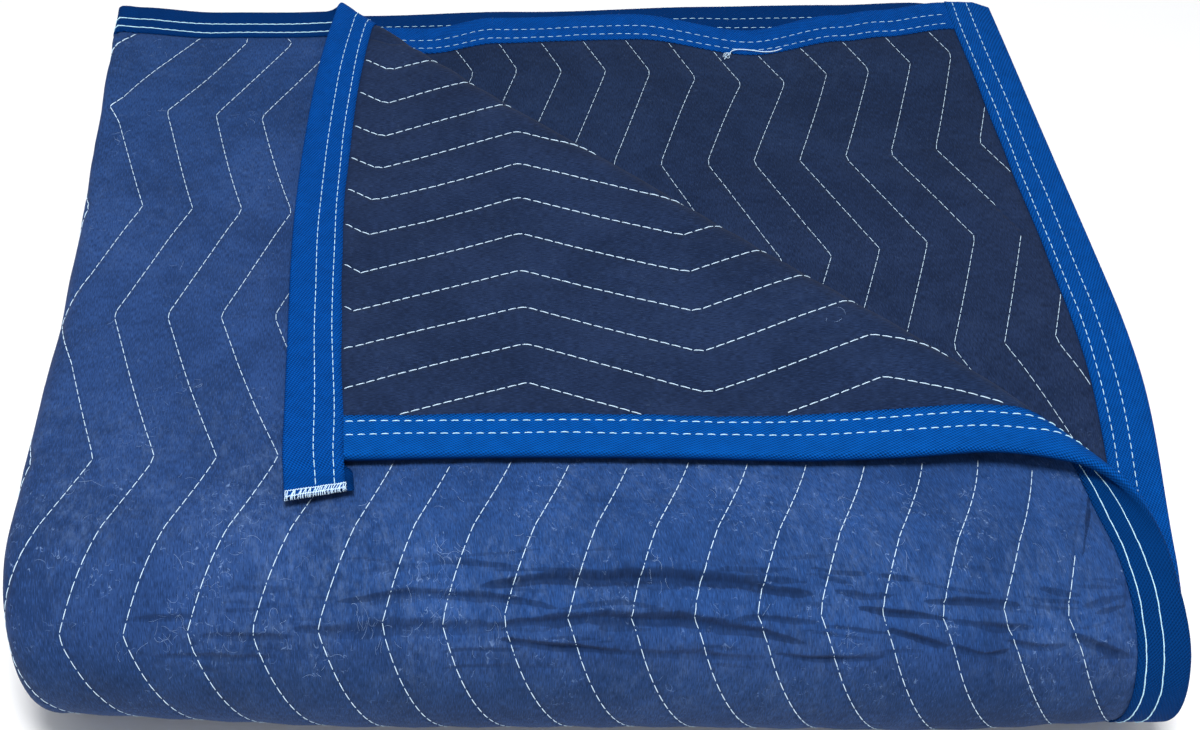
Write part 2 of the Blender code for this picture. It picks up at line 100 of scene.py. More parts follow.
# ---- Corner turned back ----
FOLD_BACK = Vector((-0.142, 0.215))      # x and y of the fold's end on the back edge
FOLD_FRONT = Vector((0.248, -0.1750))    # and of its end on the right edge
FOLD_BOW = 0.009                  # the fold's middle bows this far toward the front left
ROLL_RISE = (0.0055, 0.0095)      # half the roll's height, at the back and at the front end
ROLL_REACH = (0.0060, 0.0150)     # how far the roll stands out past the fold, the same
FLAP_REST = 1.25 * PLY            # height of the flap over the top ply, where it lies flat
SETTLE = 0.090                    # it comes down from the roll over this length
BOW_FADE = 0.25                   # and its bow dies out over this one
# The corner as it lies before it is turned back.
CORNER_LEAN = 0.0355              # its right edge lies in by this much
LEAN_SWING = (0.28, 0.42)         # and swings out again between these lengths
CORNER_RISE = 0.017               # its back edge lies this far back
RISE_ACROSS = 0.12                # as far across as this, and less and less past it
RISE_ALONG = 0.35                 # and along the blanket this dies out over this length

# ---- Unevenness of the bundle ----
# Each change grows from nothing to its size over a stretch of x and a stretch of y, both
# counted outward from the middle of the bundle.
# At the right front the bundle sags, by a share of its height, and its corner is rounded.
SAG = {"size": 0.29, "over_x": (0.00, 0.30), "over_y": (0.020, 0.240)}
ROUNDING = {"size": 0.008, "over_x": (0.12, 0.26), "over_y": (0.06, 0.20)}
# At the left front the lower plies lie further back, and all of them bulge to the left.
PULL = {"size": 0.010, "over_x": (0.10, 0.26), "over_y": (0.12, 0.23)}
BULGE = {"size": 0.006, "over_x": (0.10, 0.25), "over_y": (0.00, 0.18)}
# At the left back the upper plies stand up and back.
CORNER = {"back": 0.003, "up": 0.0020, "over_x": (0.200, 0.245), "over_y": (0.040, 0.195)}
# The same corner's bend is pressed sharp: at most this far out and up, and it grows over this
# reach past the bend's start and below the top.
SHARP = {"size": 0.0048, "reach": 0.0107, "over_y": (-0.050, 0.200)}
# The top ply's back edge is drawn in where the corner turns back.
DRAWN_IN = {"size": 0.0055, "across": 0.385, "reach": 0.055, "fade": 0.10}
# The top swells in the middle, and fine ripples run over it.
CROWN = {"size": 0.0022, "x_wave": 4.4, "x_shift": 0.5, "y_wave": 7.0}
RIPPLE = {"size": 0.0012, "one_wave": (23.0, 5.0), "other_wave": (-6.0, 17.0)}
# How far the back edge of the plies below the top has slipped back, at places across.
EDGE_WAVES = [
    {"across": 0.500, "slip": 0.000},
    {"across": 0.800, "slip": 0.009},
    {"across": 1.020, "slip": 0.022},
    {"across": 1.065, "slip": 0.030},
    {"across": 1.110, "slip": 0.0275},
    {"across": 1.190, "slip": 0.0255},
    {"across": 1.300, "slip": 0.021},
    {"across": 1.390, "slip": 0.0145},
    {"across": 1.480, "slip": 0.011},
    {"across": 1.700, "slip": -0.008},
    {"across": 1.740, "slip": 0.004},
    {"across": 1.820, "slip": 0.008},
    {"across": 1.885, "slip": -0.009},
    {"across": 1.940, "slip": 0.007},
    {"across": 1.965, "slip": 0.012},
    {"across": 2.005, "slip": 0.0195},
    {"across": 2.022, "slip": 0.0185},
    {"across": 2.034, "slip": 0.012},
]
SLIP_FADE = 0.1335                # the back edge's slip dies out over this length

LEFT_TURN_LENGTH = math.pi * 1.5 * PLY
SMALL_TURN_LENGTH = math.pi * 0.5 * PLY
NOSE_LENGTH = math.pi * 6.0 * PLY
INNER_TURN_LENGTH = math.pi * 2.0 * PLY
# Straight runs and half turns: length, how far it turns (left is positive), mesh blocks in it.
ACROSS_START = (RIGHT_EDGE, 1.5 * PLY)
ACROSS = [
    {"length": RIGHT_EDGE - LEFT_BEND, "turn": 0.0, "blocks": 42},
    {"length": LEFT_TURN_LENGTH, "turn": math.pi, "blocks": 10},
    {"length": RIGHT_BEND - LEFT_BEND, "turn": 0.0, "blocks": 41},
    {"length": SMALL_TURN_LENGTH, "turn": math.pi, "blocks": 6},
    {"length": RIGHT_BEND - LEFT_BEND, "turn": 0.0, "blocks": 41},
    {"length": SMALL_TURN_LENGTH, "turn": -math.pi, "blocks": 6},
    {"length": RIGHT_EDGE - LEFT_BEND - FAR_SHORT, "turn": 0.0, "blocks": 42},
]
ALONG_START = (BACK_EDGE, 14.0 * PLY - (0.5 * PLY - HALF_QUILT))
ALONG = [
    {"length": BACK_EDGE - FRONT_BEND, "turn": 0.0, "blocks": 32},
    {"length": NOSE_LENGTH, "turn": math.pi, "blocks": 12},
    {"length": BACK_BEND - FRONT_BEND, "turn": 0.0, "blocks": 30},
    {"length": INNER_TURN_LENGTH, "turn": math.pi, "blocks": 10},
    {"length": BACK_BEND - FRONT_BEND, "turn": 0.0, "blocks": 30},
    {"length": INNER_TURN_LENGTH, "turn": -math.pi, "blocks": 10},
    {"length": TAIL_EDGE - FRONT_BEND, "turn": 0.0, "blocks": 32},
]
WIDTH = sum(piece["length"] for piece in ACROSS)
LENGTH = sum(piece["length"] for piece in ALONG)
TOP_WIDTH = ACROSS[0]["length"]
BUNDLE_HEIGHT = 16.0 * PLY - 2.0 * (0.5 * PLY - HALF_QUILT)
FOLD_LENGTH = (FOLD_FRONT - FOLD_BACK).length
FOLD_WAY = (FOLD_FRONT - FOLD_BACK) / FOLD_LENGTH
FOLD_OUT = Vector((-FOLD_WAY.y, FOLD_WAY.x))

# ---- Quilting: zigzag lines that run along v ----
# Rows where the lines turn: at the free edge, at the far side of the pattern, and bowed between.
TOP_PATTERN = {
    "first": 0.0301, "pitch": 0.0274, "swing": 0.0161, "span": 0.50,
    "rows": [
        {"edge": -0.012, "inner": -0.012, "bow": 0.000},
        {"edge": 0.012, "inner": 0.014, "bow": 0.029},
        {"edge": 0.102, "inner": 0.092, "bow": 0.014},
        {"edge": 0.179, "inner": 0.172, "bow": 0.009},
        {"edge": 0.253, "inner": 0.251, "bow": 0.003},
        {"edge": 0.331, "inner": 0.341, "bow": 0.000},
        {"edge": 0.401, "inner": 0.418, "bow": -0.001},
        {"edge": 0.482, "inner": 0.495, "bow": 0.000},
    ],
}
SECOND_PATTERN = {
    "first": 0.0224, "pitch": 0.0249, "swing": 0.0142, "span": 0.28,
    "rows": [
        {"edge": -0.035, "inner": -0.024, "bow": 0.008},
        {"edge": 0.041, "inner": 0.051, "bow": 0.010},
        {"edge": 0.106, "inner": 0.132, "bow": 0.010},
        {"edge": 0.179, "inner": 0.226, "bow": 0.002},
        {"edge": 0.257, "inner": 0.290, "bow": 0.000},
        {"edge": 0.333, "inner": 0.355, "bow": 0.000},
    ],
}
# Where stitches of a line have sunk out of sight or snapped, in lengths along the blanket.
BROKEN = [
    {"pattern": TOP_PATTERN, "line": 0, "along": (0.340, 0.379)},
    {"pattern": SECOND_PATTERN, "line": 1, "along": (0.166, 0.186)},
    {"pattern": TOP_PATTERN, "line": 11, "along": (0.000, 0.070)},
]
# Length and thickness of quilting stitches, in the thread's own: those of the top pattern on
# the blue and on the navy side, and those of the second pattern.
SNUG = {
    "blue": {"length": 1.0, "radius": 0.82},
    "navy": {"length": 1.0, "radius": 1.12},
    "second": {"length": 1.03, "radius": 0.66},
}
ROW_STEP = 0.078                  # between turns past the last row of a pattern
PATTERN_CHANGE = 1.30             # across the blanket, inside the bundle, where patterns change
# How far the top ply's lines wander from even spacing: near the back edge and over the front.
BACK_DRIFT = [
    {"across": 0.00, "shift": 0.000},
    {"across": 0.10, "shift": 0.003},
    {"across": 0.19, "shift": 0.010},
    {"across": 0.25, "shift": 0.009},
    {"across": 0.31, "shift": 0.013},
    {"across": 0.345, "shift": 0.000},
    {"across": 0.38, "shift": -0.023},
    {"across": 0.45, "shift": -0.024},
    {"across": 0.51, "shift": -0.012},
    {"across": 0.60, "shift": 0.000},
]
FRONT_DRIFT = [
    {"across": 0.00, "shift": 0.008},
    {"across": 0.05, "shift": 0.012},
    {"across": 0.11, "shift": 0.019},
    {"across": 0.20, "shift": 0.017},
    {"across": 0.30, "shift": 0.014},
    {"across": 0.38, "shift": 0.009},
    {"across": 0.50, "shift": 0.004},
    {"across": 0.60, "shift": 0.000},
]
BACK_DRIFT_FADE = 0.20            # the first dies out over this length
FRONT_DRIFT_SPAN = (0.330, 0.405, 0.420, 0.500)      # the second rises and falls between these

# Cells across and along a mesh block.
SPLITS = {
    "hidden": (1, 1), "turned": (2, 2), "shown": (4, 4), "front": (4, 16), "pinched": (16, 16),
}
FINEST = 16
FRONT_ZONE = (0.340, 0.438)       # lengths along the blanket where the front is crinkled
SIGHT = 0.060                     # a place with nothing over it for this far is shown
SIGHT_START = 0.0012              # it is looked for from this far off the cloth
SIGHT_LEAN = 1.2                  # and for stitches also in a way that leans to the front
UNDERSIDE = 0.004                 # cloth that is lower than this and faces down lies on the floor

# ---- Creases across the front, where the cloth is pushed together ----
# from and to are places across, at the lengths along at both ends, bow how far the middle lies
# towards the back edge, half the trough's half width.
CREASES = [
    {"from": 0.382, "to": 0.277, "at": (0.4050, 0.4078), "bow": 0.0041, "depth": 0.80, "half": 0.0016},
    {"from": 0.326, "to": 0.165, "at": (0.4008, 0.4020), "bow": 0.0048, "depth": 1.00, "half": 0.0025},
    {"from": 0.400, "to": 0.296, "at": (0.4140, 0.4130), "bow": 0.0006, "depth": 0.60, "half": 0.0028},
    {"from": 0.318, "to": 0.171, "at": (0.4132, 0.4182), "bow": 0.0058, "depth": 0.95, "half": 0.0026},
    {"from": 0.284, "to": 0.237, "at": (0.4066, 0.4070), "bow": 0.0014, "depth": 0.60, "half": 0.0009},
    {"from": 0.312, "to": 0.252, "at": (0.4165, 0.4210), "bow": 0.0000, "depth": 0.85, "half": 0.0015},
    {"from": 0.262, "to": 0.192, "at": (0.4205, 0.4222), "bow": 0.0000, "depth": 0.45, "half": 0.0018},
    {"from": 0.335, "to": 0.296, "at": (0.4212, 0.4190), "bow": -0.0004, "depth": 0.60, "half": 0.0008},
    {"from": 0.335, "to": 0.296, "at": (0.4270, 0.4240), "bow": -0.0006, "depth": 0.50, "half": 0.0008},
    {"from": 0.338, "to": 0.296, "at": (0.3922, 0.3936), "bow": 0.0000, "depth": 0.75, "half": 0.0010},
    {"from": 0.368, "to": 0.330, "at": (0.3950, 0.3925), "bow": 0.0000, "depth": 0.35, "half": 0.0012},
    {"from": 0.210, "to": 0.176, "at": (0.3965, 0.3972), "bow": 0.0003, "depth": 0.65, "half": 0.0010},
    {"from": 0.176, "to": 0.148, "at": (0.3914, 0.3926), "bow": -0.0003, "depth": 0.70, "half": 0.0009},
    {"from": 0.173, "to": 0.158, "at": (0.3952, 0.3968), "bow": 0.0000, "depth": 0.80, "half": 0.0008},
    {"from": 0.168, "to": 0.138, "at": (0.3990, 0.3990), "bow": -0.0012, "depth": 0.80, "half": 0.0012},
    {"from": 0.147, "to": 0.128, "at": (0.3918, 0.3934), "bow": -0.0004, "depth": 0.80, "half": 0.0009},
    {"from": 0.160, "to": 0.114, "at": (0.4040, 0.4062), "bow": 0.0003, "depth": 1.00, "half": 0.0013},
    {"from": 0.119, "to": 0.073, "at": (0.4062, 0.4080), "bow": -0.0004, "depth": 0.70, "half": 0.0016},
    {"from": 0.147, "to": 0.116, "at": (0.4098, 0.4152), "bow": -0.0002, "depth": 1.00, "half": 0.0014},
    {"from": 0.118, "to": 0.087, "at": (0.4132, 0.4148), "bow": -0.0020, "depth": 0.90, "half": 0.0012},
    {"from": 0.092, "to": 0.059, "at": (0.4115, 0.4130), "bow": -0.0018, "depth": 0.65, "half": 0.0015},
    {"from": 0.060, "to": 0.028, "at": (0.4095, 0.4175), "bow": 0.0000, "depth": 0.80, "half": 0.0022},
    {"from": 0.131, "to": 0.078, "at": (0.4008, 0.4010), "bow": 0.0008, "depth": 0.90, "half": 0.0014},
    {"from": 0.073, "to": 0.049, "at": (0.3942, 0.3970), "bow": 0.0000, "depth": 0.65, "half": 0.0011},
    {"from": 0.052, "to": 0.027, "at": (0.4005, 0.3968), "bow": 0.0000, "depth": 0.55, "half": 0.0013},
    {"from": 0.046, "to": 0.027, "at": (0.4024, 0.3990), "bow": 0.0000, "depth": 0.70, "half": 0.0009},
    {"from": 0.214, "to": 0.171, "at": (0.4098, 0.4098), "bow": 0.0013, "depth": 0.70, "half": 0.0012},
    {"from": 0.174, "to": 0.142, "at": (0.4106, 0.4114), "bow": 0.0000, "depth": 0.70, "half": 0.0008},
    {"from": 0.198, "to": 0.142, "at": (0.4195, 0.4186), "bow": -0.0026, "depth": 0.75, "half": 0.0012},
    {"from": 0.224, "to": 0.207, "at": (0.4178, 0.4186), "bow": 0.0000, "depth": 0.50, "half": 0.0008},
    {"from": 0.462, "to": 0.431, "at": (0.4105, 0.4092), "bow": 0.0000, "depth": 0.50, "half": 0.0013},
    {"from": 0.433, "to": 0.391, "at": (0.4160, 0.4155), "bow": 0.0004, "depth": 0.55, "half": 0.0018},
    {"from": 0.454, "to": 0.399, "at": (0.4232, 0.4240), "bow": 0.0006, "depth": 0.40, "half": 0.0016},
    {"from": 0.421, "to": 0.391, "at": (0.4010, 0.4004), "bow": 0.0003, "depth": 0.40, "half": 0.0013},
    {"from": 0.400, "to": 0.060, "at": (0.3655, 0.3662), "bow": 0.0000, "depth": 0.22, "half": 0.0008},
]
# The same for creases that run along the blanket: from and to are lengths, at is across.
PINCHES = [
    {"from": 0.386, "to": 0.338, "at": (0.0452, 0.0137), "bow": 0.0, "depth": 1.00, "half": 0.0009},
]
PINCH_ZONE = (0.050, 0.390)       # across and along, up to here from the corner
# Short fine crinkles among the creases.
CRINKLES = {
    "count": 46,
    "across": (0.030, 0.420),
    "along": (0.387, 0.427),
    "length": (0.012, 0.040),
    "tilt": 0.09,
    "bow": 0.0010,
    "depth": (0.20, 0.55),
    "half": (0.0005, 0.0009),
    "seed": 5,
}
CREASE_TAPER = {"power": 0.6, "least": 0.15, "ends": 0.12}     # how a crease narrows to its ends
CREASE_SHAKE = {"size": 0.0013, "wave": 45.0, "swell": 0.55, "apart": 7.3}   # how it strays
CREASE_FULL = 0.0020              # a crease this wide is as deep as it gets
CREASE_REACH = 5.0                # it is felt this many half widths away
# Across a crease, in its half widths: the cloth rolls over a ridge, dips sharply and rises.
CREASE_PROFILE = [
    {"at": -1.35, "reach": 1.10, "height": 0.75},
    {"at": 0.25, "reach": 0.80, "height": -1.00},
    {"at": 2.10, "reach": 1.30, "height": 0.30},
]
# Shade painted into a crease: its middle, and how fast it ends above and below it.
SHADE = {"middle": 0.15, "above": 1.38, "below": 1.02}
PUFF_POWER = 0.6                  # under 1 makes the puffs round and the stitched lines sharp
LUMP_WAVE = 21.0                  # how closely the cloth's soft lumps follow each other
FINE_WAVE = 75.0                  # and its smaller ones
FINE_SHARE = 0.35                 # height of the smaller ones, against the soft lumps
FLOOR = "floor"


# ---- Sizes and colours that a user would change ----
class BlanketCloth(PropertyGroup):
    face_colour: FloatVectorProperty(
        name="Face colour", description="Blue side", subtype="COLOR", size=3,
        min=0.0, max=1.0, default=(0.015, 0.045, 0.150))
    back_colour: FloatVectorProperty(
        name="Back colour", description="Navy side", subtype="COLOR", size=3,
        min=0.0, max=1.0, default=(0.0082, 0.0198, 0.0600))
    crease_depth: FloatProperty(
        name="Crease depth", description="Depth of the front's deepest crease",
        default=0.0028, min=0.0, unit="LENGTH")
    unevenness: FloatProperty(
        name="Unevenness", description="Height of the cloth's soft lumps",
        default=0.0005, min=0.0, unit="LENGTH")
    lint_curls: IntProperty(
        name="Lint curls", description="Number of tangles of loose fibres on the cloth",
        default=95, min=0)


class BlanketTape(PropertyGroup):
    colour: FloatVectorProperty(
        name="Tape colour", description="Binding tape", subtype="COLOR", size=3,
        min=0.0, max=1.0, default=(0.001, 0.064, 0.300))
    row_in: FloatProperty(
        name="Inner row", description="Outer edge of the tape to the inner row of stitches",
        default=0.0212, min=0.0, unit="LENGTH")
    row_out: FloatProperty(
        name="Outer row", description="Outer edge of the tape to the outer row of stitches",
        default=0.0130, min=0.0, unit="LENGTH")
    dent: FloatProperty(
        name="Stitch dent", description="How far the rows of stitches pull the tape down",
        default=0.0003, min=0.0, unit="LENGTH")


class BlanketThread(PropertyGroup):
    colour: FloatVectorProperty(
        name="Quilting colour", description="Quilting thread", subtype="COLOR",
        size=3, min=0.0, max=1.0, default=(0.62, 0.82, 1.00))
    tape_colour: FloatVectorProperty(
        name="Tape thread colour", description="Binding thread", subtype="COLOR",
        size=3, min=0.0, max=1.0, default=(0.52, 0.84, 1.00))
    pitch: FloatProperty(
        name="Stitch pitch", description="From one stitch to the next",
        default=0.0050, min=0.001, unit="LENGTH")
    length: FloatProperty(
        name="Stitch length", description="Thread that shows in one stitch",
        default=0.0048, min=0.0005, unit="LENGTH")
    radius: FloatProperty(
        name="Thread radius", description="Half of the thread's width",
        default=0.00024, min=0.0001, unit="LENGTH")


class BlanketStage(PropertyGroup):
    floor_colour: FloatVectorProperty(
        name="Floor colour", description="Plain pale floor", subtype="COLOR", size=3,
        min=0.0, max=1.0, default=(0.97, 0.97, 0.97))
    floor_size: FloatProperty(
        name="Floor size", description="Side of the square floor",
        default=40.0, min=1.0, unit="LENGTH")
    key_power: FloatProperty(
        name="Key light", description="Power of the main light", default=25.0, min=0.0,
        unit="POWER")


# ---- Fold ----
def ease(value, start, end):
    """0 before start, 1 past end, and a smooth step between them."""
    share = min(max((value - start) / (end - start), 0.0), 1.0)
    return share * share * (3.0 - 2.0 * share)


def mix(pair, share):
    return pair[0] + (pair[1] - pair[0]) * share


def read_table(table, place, column):
    """Value in a column of a table that is sorted by its column across, eased between rows."""
    for near, far in zip(table, table[1:]):
        if place < far["across"]:
            return mix((near[column], far[column]), ease(place, near["across"], far["across"]))
    return table[-1][column]


def walk(start, pieces, distance):
    """Point on a path that sets out to the left, and the way that its right-hand side faces."""
    across, up = start
    heading = math.pi
    last = pieces[-1]
    for piece in pieces:
        step = distance if piece is last else min(distance, piece["length"])
        if piece["turn"] == 0.0:
            across += step * math.cos(heading)
            up += step * math.sin(heading)
        else:
            radius = piece["length"] / piece["turn"]
            turned = heading + step / radius
            across += radius * (math.sin(turned) - math.sin(heading))
            up += radius * (math.cos(heading) - math.cos(turned))
            heading = turned
        distance -= step
        if distance <= 0.0:
            break
    return (across, up), (math.sin(heading), -math.cos(heading))


def top_place(u, v):
    """Where a point of the top ply lies while its corner is still laid out flat."""
    from_fold = 1.0 - u / TOP_WIDTH
    lean = CORNER_LEAN * from_fold * (1.0 - ease(v, *LEAN_SWING))
    rise = CORNER_RISE * (1.0 - ease(u, RISE_ACROSS, TOP_WIDTH)) * (1.0 - ease(v, 0.0, RISE_ALONG))
    drawn = math.exp(-((u - DRAWN_IN["across"]) / DRAWN_IN["reach"]) ** 2)
    rise -= DRAWN_IN["size"] * drawn * (1.0 - ease(v, 0.0, DRAWN_IN["fade"]))
    return Vector((RIGHT_EDGE - u - lean, BACK_EDGE - v + rise))


def fold_bow(along):
    return FOLD_BOW * math.sin(math.pi * min(max(along / FOLD_LENGTH, 0.0), 1.0))


def roll_shape(along):
    """Half height, reach and length round of the roll, at a place along the fold."""
    share = along / FOLD_LENGTH
    rise, reach = mix(ROLL_RISE, share), mix(ROLL_REACH, share)
    return rise, reach, math.pi * math.sqrt((rise * rise + reach * reach) / 2.0)


def turn_back(place, w):
    """Plan position and height of a point past the fold, and w off the middle of the ply."""
    offset = place - FOLD_BACK
    along = offset.dot(FOLD_WAY)
    bow = fold_bow(along)
    past = offset.dot(FOLD_OUT) + bow
    rise, reach, round_length = roll_shape(along)
    if past < round_length:
        angle = math.pi * past / round_length
        out, height = reach * math.sin(angle), rise * (1.0 - math.cos(angle))
        lean, lift = -rise * math.sin(angle), reach * math.cos(angle)
        size = math.hypot(lean, lift)
        out += w * lean / size
        height += w * lift / size
    else:
        back = past - round_length
        out = -back
        height = mix((2.0 * rise, FLAP_REST), ease(back, 0.0, SETTLE)) - w
        bow *= 1.0 - ease(back, 0.0, BOW_FADE)
    return FOLD_BACK + FOLD_WAY * along + FOLD_OUT * (out - bow), height


def settle(x, y, z):
    """The bundle's own unevenness: a smooth move of space that leaves the floor where it is."""
    level = z / BUNDLE_HEIGHT

    def grown(change, side):
        return change["size"] * ease(side * x, *change["over_x"]) * ease(-y, *change["over_y"])

    swell = CROWN["size"] * math.cos(CROWN["x_wave"] * x - CROWN["x_shift"])
    swell *= math.cos(CROWN["y_wave"] * y)
    ripple = RIPPLE["size"]
    for x_wave, y_wave in (RIPPLE["one_wave"], RIPPLE["other_wave"]):
        ripple *= math.sin(x_wave * x + y_wave * y)
    sag, draw = grown(SAG, 1.0), grown(ROUNDING, 1.0)
    pull, bulge = grown(PULL, -1.0) * (1.0 - level), grown(BULGE, -1.0)
    settled_z = z * (1.0 - sag) + level * (swell + ripple)
    corner = ease(-x, *CORNER["over_x"]) * ease(y, *CORNER["over_y"]) * level * level
    settled_z += CORNER["up"] * corner
    out = ease(LEFT_BEND - x, 0.0, SHARP["reach"])
    above = ease(z - BUNDLE_HEIGHT, -SHARP["reach"], 0.0)
    sharp = SHARP["size"] * out * above * ease(y, *SHARP["over_y"])
    settled_z += sharp
    x -= sharp
    settled_y = y + pull + draw + CORNER["back"] * corner
    return Vector((x + pull - bulge - draw - MIDDLE[0], settled_y - MIDDLE[1], settled_z))


def fold(u, v, w):
    """Place in the bundle of the flat point (u, v), w above the middle of the quilt."""
    (x, rise), (face_x, face_up) = walk(ACROSS_START, ACROSS, u)
    height = w * face_up
    if u < TOP_WIDTH:
        place = top_place(u, v)
        offset = place - FOLD_BACK
        if offset.dot(FOLD_OUT) + fold_bow(offset.dot(FOLD_WAY)) > 0.0:
            place, height = turn_back(place, w)
        x, v = place.x, BACK_EDGE - place.y
    else:
        x += w * face_x
        v -= read_table(EDGE_WAVES, u, "slip") * (1.0 - ease(v, 0.0, SLIP_FADE))
    (y, z), (out_y, out_z) = walk(ALONG_START, ALONG, v)
    off = rise + height
    return settle(x, y + off * out_y, z + off * out_z)


# ---- Quilting lines ----
def pattern_at(u):
    """The pattern that holds at u, u measured from that pattern's own free edge, and its way."""
    if u < PATTERN_CHANGE:
        return TOP_PATTERN, u, 1.0
    return SECOND_PATTERN, WIDTH - u, -1.0


def row_place(pattern, number, from_edge):
    """Length along the blanket of one row of turns."""
    rows = pattern["rows"]
    row = rows[min(number, len(rows) - 1)]
    share = min(from_edge / pattern["span"], 1.0)
    place = mix((row["edge"], row["inner"]), share) + row["bow"] * 4.0 * share * (1.0 - share)
    return place + ROW_STEP * max(number - len(rows) + 1, 0)


def wave(pattern, from_edge, v):
    """-1 and 1 at alternate rows of turns, and straight between them."""
    number = 0
    while row_place(pattern, number + 1, from_edge) < v:
        number += 1
    low, high = (row_place(pattern, step, from_edge) for step in (number, number + 1))
    share = min(max((v - low) / (high - low), 0.0), 1.0)
    return (1.0 - 2.0 * share) * (1.0 if number % 2 == 0 else -1.0)


def drift(from_edge, v):
    """How far the top ply's lines stray from even spacing."""
    rise, crest, past, end = FRONT_DRIFT_SPAN
    back = read_table(BACK_DRIFT, from_edge, "shift") * (1.0 - ease(v, 0.0, BACK_DRIFT_FADE))
    front = read_table(FRONT_DRIFT, from_edge, "shift")
    return back + front * ease(v, rise, crest) * (1.0 - ease(v, past, end))


def stray(pattern, from_edge, v):
    """Distance of a quilting line off its own middle line."""
    shift = pattern["swing"] * wave(pattern, from_edge, v)
    return shift + drift(from_edge, v) if pattern is TOP_PATTERN else shift


def line_count(u, v):
    """Whole numbers on the stitched lines, and even steps between them."""
    pattern, from_edge, _ = pattern_at(u)
    straight = from_edge - stray(pattern, from_edge, v)
    return (straight - pattern["first"]) / pattern["pitch"]


def line_place(pattern, number, v):
    """Distance of one stitched line from its pattern's free edge, at a length v."""
    middle = pattern["first"] + pattern["pitch"] * number
    place = middle
    for _ in range(3):
        place = middle + stray(pattern, place, v)
    return place


# ---- Surfaces of the cloth ----
def edge_distance(u, v):
    return min(u, v, WIDTH - u, LENGTH - v)


def crinkles():
    """More rows for the table of creases, drawn at random."""
    draw = random.Random(CRINKLES["seed"])
    rows = []
    for _ in range(CRINKLES["count"]):
        u, v = draw.uniform(*CRINKLES["across"]), draw.uniform(*CRINKLES["along"])
        half_length = draw.uniform(*CRINKLES["length"]) / 2.0
        rise = draw.uniform(-1.0, 1.0) * CRINKLES["tilt"] * half_length
        rows.append({
            "from": u + half_length, "to": u - half_length, "at": (v - rise, v + rise),
            "bow": draw.uniform(-1.0, 1.0) * CRINKLES["bow"],
            "depth": draw.uniform(*CRINKLES["depth"]), "half": draw.uniform(*CRINKLES["half"]),
        })
    return rows


# Every crease with its own number, and whether it runs along the blanket.
ALL_CREASES = [(number, crease, False) for number, crease in enumerate(CREASES + crinkles())]
ALL_CREASES += [(-1 - number, pinch, True) for number, pinch in enumerate(PINCHES)]


def one_crease(number, crease, lengthwise, aside):
    """Height of one crease at a place given along it and across it, and how near its middle is."""
    share = (crease["from"] - lengthwise) / (crease["from"] - crease["to"])
    if not 0.0 < share < 1.0:
        return 0.0, 0.0
    line = mix(crease["at"], share) - crease["bow"] * 4.0 * share * (1.0 - share)
    if abs(aside - line) > CREASE_REACH * crease["half"]:
        return 0.0, 0.0
    wave, own = lengthwise * CREASE_SHAKE["wave"], number * CREASE_SHAKE["apart"]
    shake = noise.noise(Vector((wave, own, 0.0)))
    swell = 1.0 + CREASE_SHAKE["swell"] * noise.noise(Vector((2.0 * wave, own, 5.0)))
    taper = max(math.sin(math.pi * share) ** CREASE_TAPER["power"], CREASE_TAPER["least"])
    half = crease["half"] * swell * taper
    off = (aside - line - shake * CREASE_SHAKE["size"]) / half
    profile = sum(part["height"] * math.exp(-((off - part["at"]) / part["reach"]) ** 2)
                  for part in CREASE_PROFILE)
    steep = min(half / CREASE_FULL, 1.0)
    # How near the middle is sets the shade painted into the crease
    past = off - SHADE["middle"]
    near = math.exp(-(past / SHADE["above" if past < 0.0 else "below"]) ** 2)
    near *= ease(min(share, 1.0 - share), 0.0, CREASE_TAPER["ends"])
    return crease["depth"] * taper * steep * profile, near


def crease_at(u, v):
    """Height of the creases at a place, how near the middle of one it is, and that one's depth."""
    total, nearest, weight, depths = 0.0, 0.0, 0.0, 0.0
    for number, crease, runs_along in ALL_CREASES:
        place = (v, u) if runs_along else (u, v)
        height, near = one_crease(number, crease, *place)
        total += height
        nearest = max(nearest, near)
        weight += near
        depths += near * crease["depth"]
    return total, nearest, depths / weight if weight else 0.0


def open_above(bundle, u, v, w, lean=0.0):
    """Whether nothing of the bundle lies just over a place, w off the middle of the quilt.

    With a lean, a place that is open toward the front will do as well.
    """
    lift = math.copysign(SIGHT_START, w)
    start = fold(u, v, w + lift)
    away = (fold(u, v, w + 2.0 * lift) - start).normalized()
    on_floor = start.z < UNDERSIDE and away.z < -0.5
    ways = (away, (away + Vector((0.0, -lean, 0.0))).normalized())
    return not on_floor and any(bundle.ray_cast(start, way, SIGHT)[0] is None for way in ways)


